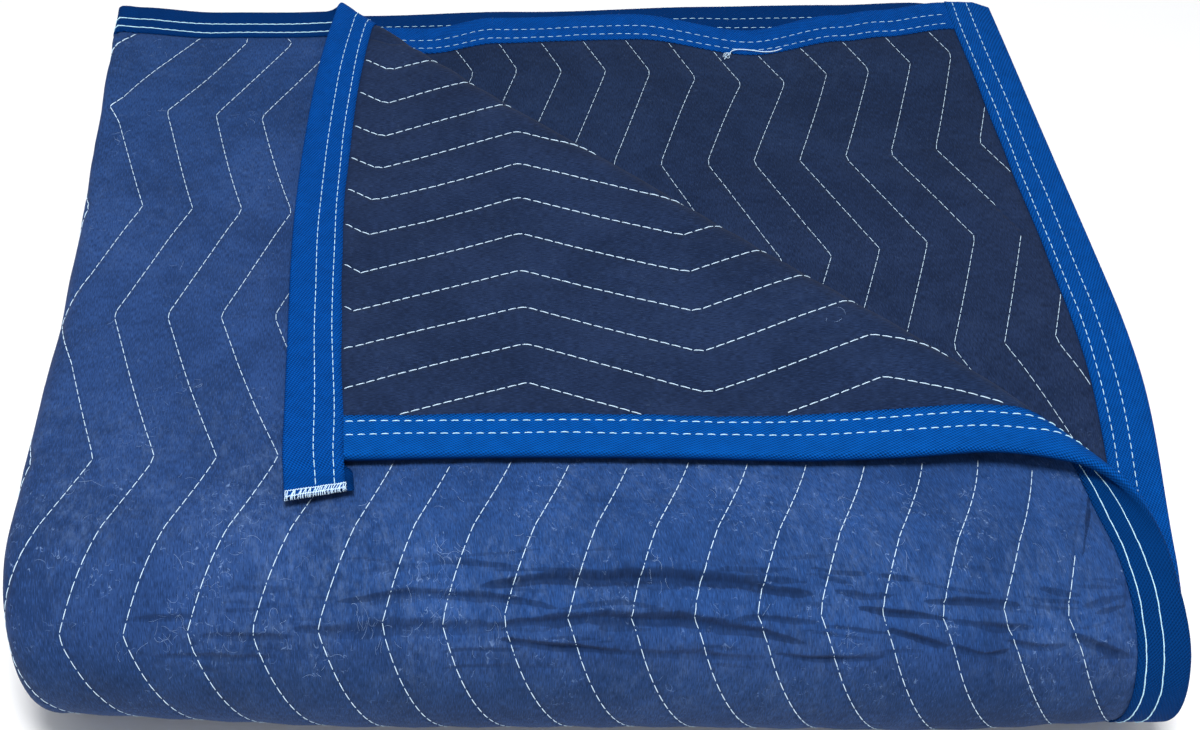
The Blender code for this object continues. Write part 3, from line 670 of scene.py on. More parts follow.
class Skin:
    """The surface of one fabric: side is 1 for the blue face and -1 for the navy back."""

    def __init__(self, side, cloth):
        self.side = side
        self.crease_depth = cloth.crease_depth
        self.unevenness = cloth.unevenness

    def height(self, u, v):
        """Height off the middle of the quilt: low on the stitched lines and under the binding."""
        count = line_count(u, v)
        from_line = 2.0 * abs(count - round(count))
        full = mix((HALF_SEAM, HALF_QUILT), from_line ** PUFF_POWER)
        lump = noise.noise(Vector((u * LUMP_WAVE, v * LUMP_WAVE, 5.0 * self.side)))
        fine = noise.noise(Vector((u * FINE_WAVE, v * FINE_WAVE, 9.0 * self.side)))
        full += self.unevenness * (lump + FINE_SHARE * fine)
        if self.creased(u, v):
            full += self.crease_depth * crease_at(u, v)[0]
        share = (edge_distance(u, v) - BOUND_WIDTH) / (PUFF_START - BOUND_WIDTH)
        return mix((HALF_BOUND, full), min(max(share, 0.0), 1.0))

    def creased(self, u, v):
        return self.side > 0 and u < TOP_WIDTH and FRONT_ZONE[0] < v < FRONT_ZONE[1]

    def shade(self, u, v):
        """How near a crease's middle a place is and how deep it is, for the creases' painted shade."""
        return crease_at(u, v)[1:] if self.creased(u, v) else (0.0, 0.0)

    def point(self, u, v, lift=0.0):
        return fold(u, v, self.side * (self.height(u, v) + lift))

    def faces_front(self, u, v):
        """Whether the cloth is turned up or towards the front here."""
        place = self.point(u, v)
        away = self.point(u, v, SIGHT_START) - place
        return away.dot(Vector(CAMERA["place"]) - place) > 0.0

    def in_sight(self, u, v, bundle, lean=0.0):
        """Whether nothing of the bundle lies just over this place."""
        return open_above(bundle, u, v, self.side * HALF_QUILT, lean)


def block_lines(pieces):
    """Lines between mesh blocks along a path, with one at the edge of the binding."""
    lines = [0.0]
    for piece in pieces:
        start, count = lines[-1], piece["blocks"]
        lines += [start + piece["length"] * (step + 1) / count for step in range(count)]
    total = lines[-1]
    rims = (TAPE + CLEAR, BOUND_WIDTH / 2.0, BOUND_WIDTH)
    for number, rim in enumerate(rims):
        lines[number], lines[-1 - number] = rim, total - rim
    return lines


U_LINES = block_lines(ACROSS)
V_LINES = block_lines(ALONG)


def bundle_tree():
    """The folded fabrics in a coarse form, to find what they hide."""
    points, faces = [], []
    row = len(V_LINES)
    for side in (1.0, -1.0):
        first = len(points)
        points += [fold(u, v, side * HALF_QUILT) for u in U_LINES for v in V_LINES]
        for a in range(len(U_LINES) - 1):
            for b in range(row - 1):
                corner = first + a * row + b
                faces.append((corner, corner + row, corner + row + 1, corner + 1))
    return BVHTree.FromPolygons(points, faces)


def block_splits(skin, bundle):
    """How finely each mesh block is split: fine where it shows, finest over the creased front."""
    sight = [[skin.in_sight(u, v, bundle) for v in V_LINES] for u in U_LINES]
    splits = []
    for a in range(len(U_LINES) - 1):
        column = []
        for b in range(len(V_LINES) - 1):
            shown = sight[a][b] or sight[a + 1][b] or sight[a][b + 1] or sight[a + 1][b + 1]
            if not shown:
                use = "hidden"
            elif skin.creased(U_LINES[a], V_LINES[b]):
                pinched = U_LINES[a] < PINCH_ZONE[0] and V_LINES[b] < PINCH_ZONE[1]
                use = "pinched" if pinched else "front"
            else:
                use = "shown" if skin.faces_front(U_LINES[a], V_LINES[b]) else "turned"
            column.append(SPLITS[use])
        splits.append(column)
    return splits


def lattice_place(lines, number):
    """Length at a mesh point's number, counted in the finest cells."""
    block = min(number // FINEST, len(lines) - 2)
    return mix((lines[block], lines[block + 1]), number / FINEST - block)


def cloth_faces(splits):
    """Faces of the flat mesh, each a list of lattice points, joined exactly where blocks meet."""
    def step_of(a, b, way):
        inside = 0 <= a < len(splits) and 0 <= b < len(splits[0])
        return FINEST // splits[a][b][way] if inside else FINEST

    for a, column in enumerate(splits):
        for b, split in enumerate(column):
            wide, long = FINEST // split[0], FINEST // split[1]
            low_i, low_j = a * FINEST, b * FINEST
            last_i, last_j = low_i + FINEST - wide, low_j + FINEST - long
            for i in range(low_i, low_i + FINEST, wide):
                for j in range(low_j, low_j + FINEST, long):
                    near = min(wide, step_of(a, b - 1, 0)) if j == low_j else wide
                    right = min(long, step_of(a + 1, b, 1)) if i == last_i else long
                    far = min(wide, step_of(a, b + 1, 0)) if j == last_j else wide
                    left = min(long, step_of(a - 1, b, 1)) if i == low_i else long
                    yield (
                        [(i + k, j) for k in range(0, wide, near)]
                        + [(i + wide, j + k) for k in range(0, long, right)]
                        + [(i + wide - k, j + long) for k in range(0, wide, far)]
                        + [(i, j + long - k) for k in range(0, long, left)]
                    )


# ---- Meshes ----
def make_piece(name, points, faces, material, layers=(), body="root"):
    """An object that rides on the blanket, smooth, with one flat map for each layer."""
    mesh = bpy.data.meshes.new(name)
    mesh.from_pydata([tuple(point) for point in points], [], faces)
    mesh.materials.append(material)
    mesh.shade_smooth()
    for layer_name, places in layers:
        layer = mesh.uv_layers.new(name=layer_name)
        corners = [0] * len(mesh.loops)
        mesh.loops.foreach_get("vertex_index", corners)
        layer.data.foreach_set("uv", [part for corner in corners for part in places[corner]])
    piece = bpy.data.objects.new(name, mesh)
    bpy.context.scene.collection.objects.link(piece)
    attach(piece, body)
    return piece


def make_cloth(name, skin, bundle, material):
    """One fabric of the blanket as an open sheet, with maps of its flat and quilted places."""
    numbers, flat, faces = {}, [], []
    for corners in cloth_faces(block_splits(skin, bundle)):
        face = []
        for corner in corners:
            if corner not in numbers:
                numbers[corner] = len(flat)
                flat.append((lattice_place(U_LINES, corner[0]), lattice_place(V_LINES, corner[1])))
            face.append(numbers[corner])
        faces.append(face if skin.side > 0 else face[::-1])
    points = [skin.point(u, v) for u, v in flat]
    quilted = [(line_count(u, v), v) for u, v in flat]
    # For the creases' painted shade: nearness to a crease's middle, and its depth
    creased = [skin.shade(u, v) for u, v in flat]
    layers = [("flat", flat), ("quilted", quilted), ("creased", creased)]
    cloth = make_piece(name, points, faces, material, layers)
    return cloth


# ---- Binding tapes ----
BUTT = TAPE_WIDTH + CLEAR
# Each tape's colour is the tape colour times a share that paints light and shade into it: darker on the
# back tape, brighter on the right one.
TAPES = [
    {"name": "tape_back", "node": "binding_back", "side": "back",
     "start": -TAIL, "end": WIDTH - BUTT, "light_and_shade_tint": (0.80, 0.92, 0.98)},
    {"name": "tape_right", "node": "binding_right", "side": "right",
     "start": BUTT, "end": LENGTH, "light_and_shade_tint": (1.00, 1.12, 1.10)},
    {"name": "tape_far", "node": "binding_far", "side": "far",
     "start": 0.0, "end": LENGTH - BUTT, "light_and_shade_tint": (1.00, 1.00, 1.00)},
    {"name": "tape_inner", "node": "binding_inner", "side": "tail",
     "start": BUTT, "end": WIDTH, "light_and_shade_tint": (1.00, 1.00, 1.00)},
]
TAPE_STEP = 0.0030                # between the mesh's lines across a tape, on straight runs
TAPE_TURN_STEP = 0.0012           # and round the bends
TAPE_COLUMNS = 9                  # mesh lines along each face of a tape
TAPE_ROUND = 0.0013               # how far the tape's own bend reaches in from the edge
TAPE_ROUND_CUTS = 6
TAPE_PUCKER = {"height": 0.00035, "wave": 55.0}
TAPE_NICK_SLANT = 0.15            # how far a dent moves along, against how far it runs in
# Dents across a tape: where along it, how deep, how long.
TAPE_NICKS = {
    "right": [
        {"along": 0.1380, "depth": 0.0005, "reach": 0.0013},
        {"along": 0.1470, "depth": 0.0004, "reach": 0.0012},
        {"along": 0.1630, "depth": 0.0005, "reach": 0.0014},
        {"along": 0.1790, "depth": 0.0004, "reach": 0.0012},
        {"along": 0.3930, "depth": -0.0013, "reach": 0.0060},
        {"along": 0.4000, "depth": 0.0004, "reach": 0.0018},
        {"along": 0.4300, "depth": -0.0006, "reach": 0.0050},
    ],
}
TAPE_SHIFT = {"size": 0.0007, "wave": 24.0}   # how unevenly the tape's raw edge runs


def tape_place(side_of_blanket, along, inward):
    """Flat point at a distance along one side of the blanket and a distance in from its edge."""
    return {
        "right": (inward, along),
        "back": (along, inward + TAIL_LEAN * ease(-along, -TAIL_LEAN_START, TAIL)),
        "far": (WIDTH - inward, along),
        "tail": (along, LENGTH - inward),
    }[side_of_blanket]


class TapeSkin:
    """The outside of one tape: points by distance along, distance in from the edge, and side."""

    def __init__(self, tape, settings):
        self.where = tape["side"]
        self.turned = self.where in ("right", "tail")
        self.settings = settings

    def trimmed(self, along, inward):
        """Distance along, with the tail's end cut aslant."""
        cut = mix(TAIL_CUT, min(inward, TAPE_WIDTH) / TAPE_WIDTH)
        return along + cut * ease(-along, TAIL / 4.0, TAIL) if self.where == "back" else along

    def half_opening(self, along):
        tight = ease(-along, *TAIL_PINCH) if self.where == "back" else 0.0
        return mix((HALF_BOUND + CLEAR, HALF_GAP), tight)

    def height(self, along, inward, side):
        """Height off the middle of the quilt, with puckers, low on the rows of stitches."""
        place = Vector((along * TAPE_PUCKER["wave"], inward * TAPE_PUCKER["wave"], 4.0 * side))
        pucker = TAPE_PUCKER["height"] * noise.noise(place)
        for nick in TAPE_NICKS.get(self.where, ()):
            away = (along - nick["along"] - TAPE_NICK_SLANT * inward) / nick["reach"]
            pucker -= nick["depth"] * math.exp(-away * away)
        for row in (self.settings.row_in, self.settings.row_out):
            pucker -= self.settings.dent * math.exp(-((inward - row) / ROW_DENT_REACH) ** 2)
        return self.half_opening(along) + TAPE + pucker * ease(inward, 0.0, 2.0 * TAPE_ROUND)

    def in_sight(self, along, inward, side, bundle):
        place = tape_place(self.where, along, inward)
        return open_above(bundle, *place, side * HALF_QUILT, SIGHT_LEAN)


def tape_marks(path, start, end):
    """Places along a path where the mesh of a tape gets a line, close together round bends."""
    marks, passed = [start], 0.0
    for piece in path:
        spacing = TAPE_STEP if piece["turn"] == 0.0 else TAPE_TURN_STEP
        count = math.ceil(piece["length"] / spacing)
        marks += [passed + piece["length"] * step / count for step in range(count)]
        passed += piece["length"]
    marks += [-TAPE_STEP * step for step in range(1, int(TAIL / TAPE_STEP) + 1)]
    inside = [mark for mark in marks if start + TAPE_STEP / 4.0 < mark < end - TAPE_STEP / 4.0]
    return [start] + sorted(inside) + [end]


def tape_profile():
    """Across a tape from one raw edge to the other: distance in, share of the height, face."""
    face = [mix((TAPE_WIDTH, TAPE_ROUND), step / TAPE_COLUMNS) for step in range(TAPE_COLUMNS)]
    rows = [(inward, 1.0) for inward in face]
    for cut in range(TAPE_ROUND_CUTS + 1):
        angle = math.pi * cut / TAPE_ROUND_CUTS
        rows.append((TAPE_ROUND * (1.0 - math.sin(angle)), math.cos(angle)))
    return rows + [(inward, -1.0) for inward in reversed(face)]


def distances_round(profile):
    """Distance over the tape from its middle to each line of its mesh, raw edges included."""
    half = HALF_BOUND + CLEAR + TAPE
    outline = [Vector((inward, share * half)) for inward, share in profile]
    lengths = [0.0]
    for near, far in zip(outline, outline[1:]):
        lengths.append(lengths[-1] + (far - near).length)
    middle = lengths[-1] / 2.0
    return [middle + TAPE] + [middle - length for length in lengths] + [-middle - TAPE]


def tape_row(tape, skin, profile, along):
    """Points across a tape at one length, with both raw edges turned down to the cloth."""
    shake = Vector((along * TAPE_SHIFT["wave"], skin.turned, 0.0))
    shift = TAPE_SHIFT["size"] * noise.noise(shake)
    wider = UNDER_WIDER * ease(-along, *TAIL_PINCH) if tape["side"] == "back" else 0.0

    def flat_place(reach):
        return tape_place(tape["side"], skin.trimmed(along, reach), reach)

    row = []
    for inward, share in profile:
        reach = inward + (shift + wider * (share > 0.0)) * ease(inward, 0.0, TAPE_WIDTH)
        height = skin.height(along, inward, math.copysign(1.0, share))
        row.append(fold(*flat_place(reach), share * height))
    opening = skin.half_opening(along)
    under = fold(*flat_place(TAPE_WIDTH + shift + wider), opening)
    over = fold(*flat_place(TAPE_WIDTH + shift), -opening)
    return [under, *row, over]


def make_tape(tape, settings, material):
    """A woven tape folded over one side of the blanket."""
    skin = TapeSkin(tape, settings)
    path = ACROSS if tape["side"] in ("back", "tail") else ALONG
    marks = tape_marks(path, tape["start"], tape["end"])
    profile = tape_profile()
    across = distances_round(profile)
    points, places = [], []
    for along in marks:
        points += tape_row(tape, skin, profile, along)
        places += [(along, place) for place in across]
    width = len(profile) + 2
    faces = []
    for row in range(len(marks) - 1):
        for column in range(width - 1):
            corner = row * width + column
            face = (corner, corner + 1, corner + width + 1, corner + width)
            faces.append(face if skin.turned else face[::-1])
    piece = make_piece(tape["name"], points, faces, material, [("flat", places)])
    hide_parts(tape["node"])
    return piece


# ---- Stitches ----
# Rings round a stitch: place along it, thickness and height, both in thread radii.
STITCH_RINGS = [
    {"along": 0.00, "thick": 0.20, "lift": -0.90},
    {"along": 0.14, "thick": 0.85, "lift": 0.10},
    {"along": 0.50, "thick": 1.00, "lift": 0.60},
    {"along": 0.86, "thick": 0.85, "lift": 0.10},
    {"along": 1.00, "thick": 0.20, "lift": -0.90},
]
STITCH_SEAT = 0.00016             # the mesh bridges the sharp seam, so stitches lie this far up
ROW_SEAT = 0.00020                # the same on a tape
RING_SIDES = 5
TIP_SHARE = 0.35                  # a loose thread's end, against its middle
ROW_DENT_REACH = 0.0016           # how wide the dent of a row of stitches is
ROW_SHAKE = {"size": 0.0011, "wave": 17.0, "apart": 1000.0}   # how unevenly the rows run
CHAIN_SHARE = 1.22                # a chained stitch's length, in stitch pitches
CHAIN_THICKNESS = 1.26            # and its thickness, in thread radii
LOOSE_CHAIN = {"back": (1.02, 1.54)}   # where the chain is open, like dashes
# Dashes on the tapes' navy side and on the open chain, up to a length along the tape.
ROW_DASHES = {
    "back": [{"up_to": TOP_WIDTH, "length": 0.90, "radius": 0.86},
             {"up_to": WIDTH, "length": 0.74, "radius": 0.68}],
    "right": [{"up_to": LENGTH, "length": 0.74, "radius": 1.16}],
    "far": [{"up_to": LENGTH, "length": 0.80, "radius": 0.86}],
    "tail": [{"up_to": WIDTH, "length": 0.80, "radius": 1.00}],
}
CHAIN_WEAVE = 0.35                # how far it swings from side to side


class Threads:
    """Stitches gathered into one mesh."""

    def __init__(self, radius):
        self.radius = radius
        self.points, self.faces = [], []

    def add(self, surface, place, turned, start, end, radius=None):
        """A stitch from start to end: surface(flat) is the cloth's height, place(flat, height)
        a point in the bundle."""
        radius = radius or self.radius
        way = (end - start).normalized()
        aside = Vector((-way.y, way.x))
        first = len(self.points)
        for ring in STITCH_RINGS:
            middle = start.lerp(end, ring["along"])
            height = surface(middle)
            for step in range(RING_SIDES):
                angle = 2.0 * math.pi * step / RING_SIDES
                out = middle + aside * (radius * ring["thick"] * math.cos(angle))
                lift = radius * (ring["lift"] + ring["thick"] * math.sin(angle))
                self.points.append(place(out, height + lift))
        self.join(first, len(STITCH_RINGS), RING_SIDES, turned)

    def add_tube(self, line, radius, sides=4):
        """A round thread along a line of points in the bundle, thin at both ends."""
        first = len(self.points)
        aside = (line[1] - line[0]).orthogonal().normalized()
        for number, point in enumerate(line):
            way = line[min(number + 1, len(line) - 1)] - line[max(number - 1, 0)]
            if number > 0:
                aside -= way * (aside.dot(way) / way.dot(way))
            aside.normalize()
            up = way.normalized().cross(aside)
            thick = radius * (TIP_SHARE if number in (0, len(line) - 1) else 1.0)
            for step in range(sides):
                angle = 2.0 * math.pi * step / sides
                self.points.append(
                    point + aside * (thick * math.cos(angle)) + up * (thick * math.sin(angle)))
        self.join(first, len(line), sides, True)

    def join(self, first, rings, sides, turned):
        """Faces of a closed tube whose rings lie one after another from a first point."""
        faces = []
        for ring in range(rings - 1):
            for step in range(sides):
                a = first + ring * sides + step
                b = first + ring * sides + (step + 1) % sides
                faces.append((a, a + sides, b + sides, b))
        faces.append(tuple(first + step for step in range(sides)))
        last = first + (rings - 1) * sides
        faces.append(tuple(last + step for step in reversed(range(sides))))
        self.faces += [face[::-1] for face in faces] if turned else faces

    def make(self, name, material, body="root"):
        return make_piece(name, self.points, self.faces, material, body=body)


def quilting_marks(pattern, number, pitch):
    """Points one stitch apart along a quilting line, laid out flat."""
    mirrored = pattern is SECOND_PATTERN
    marks = []
    v = BOUND_WIDTH
    step = pitch
    while v < LENGTH - BOUND_WIDTH:
        across = line_place(pattern, number, v)
        mark = Vector((WIDTH - across if mirrored else across, v))
        if marks:
            travel = mark - marks[-1]
            step = pitch * travel.y / travel.length
        marks.append(mark)
        v += step
    return marks


def quilting_lines(pitch):
    """Every quilting line: its pattern, and its marks except where it runs on under the tapes."""
    for pattern in (TOP_PATTERN, SECOND_PATTERN):
        reach = PATTERN_CHANGE if pattern is TOP_PATTERN else WIDTH - PATTERN_CHANGE
        for number in range(int((reach - pattern["first"]) / pattern["pitch"])):
            marks = quilting_marks(pattern, number, pitch)
            gaps = [
                gap["along"] for gap in BROKEN
                if gap["pattern"] is pattern and gap["line"] == number
            ]
            yield pattern, [
                mark for mark in marks
                if edge_distance(*mark) > BOUND_WIDTH
                and not any(low < mark.y < high for low, high in gaps)
            ]


def make_quilting(name, skin, bundle, thread, material):
    """The quilting stitches that show on one fabric."""
    def surface(flat):
        return skin.height(flat.x, flat.y) + STITCH_SEAT

    def place(flat, height):
        return fold(flat.x, flat.y, skin.side * height)

    threads = Threads(thread.radius)
    for pattern, marks in quilting_lines(thread.pitch):
        snug = SNUG["second" if pattern is SECOND_PATTERN else "blue" if skin.side > 0 else "navy"]
        for mark, following in zip(marks, marks[1:]):
            if (following - mark).length > 2.0 * thread.pitch:
                continue
            if not skin.in_sight(*mark, bundle, SIGHT_LEAN):
                continue
            middle = mark.lerp(following, 0.5)
            half = (following - mark).normalized() * (snug["length"] * thread.length / 2.0)
            radius = snug["radius"] * thread.radius
            threads.add(surface, place, skin.side < 0, middle - half, middle + half, radius)
    return threads.make(name, material)


def sew_row(threads, thread, skin, tape, row, side, bundle):
    """One row of stitches on one side of a tape: dashes on the navy side, a chain on the blue."""
    def surface(flat):
        return skin.height(flat.x, flat.y, side) + ROW_SEAT

    def place(flat, height):
        return fold(*tape_place(skin.where, flat.x, flat.y), side * height)

    chained = side > 0
    low, high = LOOSE_CHAIN.get(tape["side"], (0.0, 0.0))
    for number in range(int((tape["end"] - tape["start"]) / thread.pitch)):
        along = tape["start"] + thread.pitch * (number + 0.5)
        close = chained and not low < along < high
        dash = next(entry for entry in ROW_DASHES[tape["side"]] if along <= entry["up_to"])
        length = thread.pitch * CHAIN_SHARE if close else thread.length * dash["length"]
        radius = thread.radius * (CHAIN_THICKNESS if close else dash["radius"])
        if along - length / 2.0 < skin.trimmed(tape["start"], row):
            continue
        if not skin.in_sight(along, row, side, bundle):
            continue
        shake = Vector((along * ROW_SHAKE["wave"], row * ROW_SHAKE["apart"], side))
        middle = row + ROW_SHAKE["size"] * noise.noise(shake)
        weave = CHAIN_WEAVE * thread.radius * (1.0 if number % 2 else -1.0) * chained
        start = Vector((along - length / 2.0, middle - weave))
        end = Vector((along + length / 2.0, middle + weave))
        threads.add(surface, place, (side < 0) != skin.turned, start, end, radius)


def make_tape_stitches(name, tape, settings, bundle, thread, material):
    """Both rows of stitches on both sides of one tape."""
    skin = TapeSkin(tape, settings)
    threads = Threads(thread.radius)
    for side in (1.0, -1.0):
        for row in (settings.row_in, settings.row_out):
            sew_row(threads, thread, skin, tape, row, side, bundle)
    return threads.make(name, material)


# ---- Overlocked end of the tail ----
SERGE = {
    "reach": 0.0048,              # from the tail's end to the far side of the stitches
    "loops": 25,
    "slant": 0.0011,              # how far along the end each loop leans
    "radius": 0.00024,
    "over": 0.0007,               # how far the loops stand past the end
    "turn": 0.0004,               # how far before the end they turn over it
    "scatter": (0.2, 0.8),        # where in its share of the end a loop starts
    "leans": (0.2, 2.2),          # its lean, in slants
    "wobble": (-0.0011, 0.0004),  # how much further than the others it reaches
}
SERGE_CHAINS = (0.0006, 0.0042)   # lines of looper thread, from the end
SERGE_SWING = 0.00045             # how far they weave
FRAY = {"count": 26, "length": (0.0006, 0.0020), "radius": 0.00012, "seed": 4}


class TailEnd:
    """The cut end of the back tape's tail, and the paths of the threads that bind it."""

    def __init__(self, tape, settings):
        self.skin = TapeSkin(tape, settings)
        self.end = tape["start"]
        self.lift = SERGE["radius"] * 0.8

    def place(self, from_end, inward, side, extra=0.0):
        """Point on the tape at a distance from its cut end, extra off its face."""
        inside = min(max(inward, TAPE_ROUND / 2.0), TAPE_WIDTH)
        height = self.skin.height(self.end + max(from_end, 0.0), inside, side) + extra
        along = self.skin.trimmed(self.end + from_end, inside)
        return fold(*tape_place(self.skin.where, along, inside), side * height)

    def past_end(self, inward):
        """Point just past the cut end, between the tape's two halves."""
        along = self.skin.trimmed(self.end - SERGE["over"], inward)
        return fold(*tape_place(self.skin.where, along, inward), 0.0)

    def loop(self, number, draw):
        """One loop round the end, from the navy side to the blue."""
        inward = TAPE_WIDTH * (number + draw.uniform(*SERGE["scatter"])) / SERGE["loops"]
        lean = SERGE["slant"] * draw.uniform(*SERGE["leans"])
        wobble = draw.uniform(*SERGE["wobble"])
        reach, lift = SERGE["reach"], self.lift
        return [
            self.place(reach + wobble, inward + lean, -1.0, -lift * 0.3),
            self.place(reach * 0.75, inward + lean * 0.7, -1.0, lift),
            self.place(reach * 0.40, inward + lean * 0.3, -1.0, lift),
            self.place(SERGE["turn"], inward, -1.0, lift),
            self.past_end(inward),
            self.place(SERGE["turn"], inward, 1.0, lift),
            self.place(reach * 0.55, inward - lean * 0.5, 1.0, lift),
            self.place(reach, inward - lean, 1.0, -lift * 0.3),
        ]

    def chain(self, number, from_end, side):
        """One line of looper thread across one side of the tape."""
        steps = 3 * SERGE["loops"]
        line = []
        for step in range(steps + 1):
            swing = SERGE_SWING * math.sin(2.1 * step + number)
            inward = TAPE_WIDTH * step / steps
            line.append(self.place(from_end + swing, inward, side, self.lift * 1.6))
        return line

    def frayed(self, draw):
        """One frayed end that stands out past the cut."""
        inward = draw.uniform(0.0, TAPE_WIDTH)
        length = draw.uniform(*FRAY["length"])
        lean = draw.uniform(-0.5, 0.5) * length
        return [
            self.place(
                -length * share, inward + lean * share * share, -1.0, self.lift * (1.0 - share))
            for share in (0.0, 0.35, 0.7, 1.0)
        ]


def make_serging(settings, material):
    """White thread that binds the raw end of the back tape's tail, with a few frayed ends."""
    tail = TailEnd(TAPES[0], settings)
    threads = Threads(SERGE["radius"])
    draw = random.Random(FRAY["seed"])
    for number in range(SERGE["loops"]):
        threads.add_tube(tail.loop(number, draw), SERGE["radius"], 5)
    for side in (1.0, -1.0):
        for number, from_end in enumerate(SERGE_CHAINS):
            threads.add_tube(tail.chain(number, from_end, side), SERGE["radius"] * 0.9, 5)
    for _ in range(FRAY["count"]):
        threads.add_tube(tail.frayed(draw), FRAY["radius"], 3)
    return threads.make("tail_overlock", material)


# ---- Loose thread on the second ply ----
# In from the blanket's far edge, along from its back edge, and lift off the cloth.
LOOSE_THREAD = [
    {"in": 0.1642, "along": 0.0345, "lift": 0.0004},
    {"in": 0.1626, "along": 0.0318, "lift": 0.0010},
    {"in": 0.1609, "along": 0.0300, "lift": 0.0016},
    {"in": 0.1594, "along": 0.0268, "lift": 0.0018},
    {"in": 0.1559, "along": 0.0238, "lift": 0.0014},
    {"in": 0.1514, "along": 0.0226, "lift": 0.0010},
    {"in": 0.1464, "along": 0.0230, "lift": 0.0008},
    {"in": 0.1416, "along": 0.0244, "lift": 0.0007},
    {"in": 0.1369, "along": 0.0252, "lift": 0.0006},
    {"in": 0.1326, "along": 0.0249, "lift": 0.0005},
    {"in": 0.1294, "along": 0.0238, "lift": 0.0003},
]
LOOSE_RADIUS = 0.00030
# A knot of thread: it winds round, bobs up and down and swings in and out as it goes.
KNOT = {
    "turns": 2.5, "reach": 0.0024, "rise": 0.0008, "radius": 0.00017, "steps": 36,
    "bobs": 1.5, "swings": 1.7, "flat": 0.8,
}


def knot_line(place):
    """Points along the thread of the knot."""
    line = []
    for step in range(KNOT["steps"]):
        angle = 2.0 * math.pi * KNOT["turns"] * step / KNOT["steps"]
        rise = KNOT["rise"] * (1.0 + math.sin(KNOT["bobs"] * angle))
        reach = KNOT["reach"] * (0.70 + 0.30 * math.cos(KNOT["swings"] * angle))
        aside = KNOT["flat"] * reach * math.sin(angle)
        line.append(place + Vector((reach * math.cos(angle), aside, rise)))
    return line


def smooth_line(points, cuts):
    """More points on a smooth curve through the given ones."""
    line = []
    for number in range(len(points) - 1):
        before = points[max(number - 1, 0)]
        start, end = points[number], points[number + 1]
        after = points[min(number + 2, len(points) - 1)]
        for cut in range(cuts):
            t = cut / cuts
            line.append(0.5 * (
                2.0 * start + (end - before) * t
                + (2.0 * before - 5.0 * start + 4.0 * end - after) * t * t
                + (3.0 * start - before - 3.0 * end + after) * t * t * t))
    return line + [points[-1]]


def make_loose_thread(material):
    """A cut thread end that lies over the back tape of the second ply, with a tiny knot."""
    threads = Threads(LOOSE_RADIUS)
    base = -(HALF_BOUND + CLEAR + TAPE)
    bends = [fold(WIDTH - row["in"], row["along"], base - row["lift"]) for row in LOOSE_THREAD]
    threads.add_tube(smooth_line(bends, 4), LOOSE_RADIUS, 5)
    threads.add_tube(knot_line(bends[1]), KNOT["radius"], 5)
    return threads.make("loose_thread", material)


# ---- Lint: loose curled fibres ----
# Where tangles of fibres lie: side, range across and along, share of them.
LINT_FIELDS = [
    {"side": 1.0, "across": (0.03, 0.50), "along": (0.35, 0.43), "share": 0.34},
    {"side": 1.0, "across": (0.32, 0.47), "along": (0.35, 0.425), "share": 0.24},
    {"side": 1.0, "across": (0.24, 0.50), "along": (0.03, 0.40), "share": 0.30},
    {"side": -1.0, "across": (0.03, 0.35), "along": (0.03, 0.33), "share": 0.03},
]
LINT = {
    "fibres": (1, 9),             # in one tangle
    "spread": 0.0030,             # how far its fibres start from its middle
    "length": (0.002, 0.008),
    "radius": 0.000048,
    "curl": 480.0,
    "change": 0.25,               # how much the curl changes from step to step
    "steps": 12,
    "seed": 11,
}


def lint_line(skin, draw, place):
    """One fibre that lies on the cloth and curls as it goes."""
    u, v = place
    heading, curl = draw.uniform(0.0, 2.0 * math.pi), draw.uniform(-1.0, 1.0) * LINT["curl"]
    step = draw.uniform(*LINT["length"]) / LINT["steps"]
    line = []
    for _ in range(LINT["steps"]):
        line.append(skin.point(u, v, LINT["radius"] * 1.3))
        heading += curl * step
        curl += draw.uniform(-1.0, 1.0) * LINT["change"] * LINT["curl"]
        u += step * math.cos(heading)
        v += step * math.sin(heading)
    return line


def make_lint(count, cloth, bundle, material):
    """Tangles of fibres that cling to the cloth, each a short thread."""
    draw = random.Random(LINT["seed"])
    threads = Threads(LINT["radius"])
    for field in LINT_FIELDS:
        skin = Skin(field["side"], cloth)
        for _ in range(round(count * field["share"])):
            middle = Vector((draw.uniform(*field["across"]), draw.uniform(*field["along"])))
            for _ in range(draw.randint(*LINT["fibres"])):
                aside = Vector((draw.gauss(0.0, 1.0), draw.gauss(0.0, 1.0))) * LINT["spread"]
                line = lint_line(skin, draw, middle + aside)
                if skin.in_sight(*middle, bundle):
                    threads.add_tube(line, LINT["radius"], 3)
    return threads.make("lint", material)


# ---- Effects that materials share: node groups ----
def new_group(name, inputs, outputs):
    """An empty shader node group; inputs and outputs are (name, socket kind, default)."""
    group = bpy.data.node_groups.new(name, "ShaderNodeTree")
    for label, kind, default in inputs:
        socket = group.interface.new_socket(name=label, in_out="INPUT", socket_type=kind)
        if default is not None:
            socket.default_value = default
    for label, kind, _ in outputs:
        group.interface.new_socket(name=label, in_out="OUTPUT", socket_type=kind)
    return group, group.nodes.new("NodeGroupInput"), group.nodes.new("NodeGroupOutput")


def value(tree, operation, *inputs, clamp=False):
    """A Math node's output; each input is a number or another node's socket."""
    node = tree.nodes.new("ShaderNodeMath")
    node.operation = operation
    node.use_clamp = clamp
    for slot, given in zip(node.inputs, inputs):
        plug(tree, given, slot)
    return node.outputs[0]


def times(tree, first, second, clamp=False):
    return value(tree, "MULTIPLY", first, second, clamp=clamp)


def plus(tree, first, second, clamp=False):
    return value(tree, "ADD", first, second, clamp=clamp)


def plug(tree, given, slot):
    if isinstance(given, bpy.types.NodeSocket):
        tree.links.new(given, slot)
    else:
        slot.default_value = given


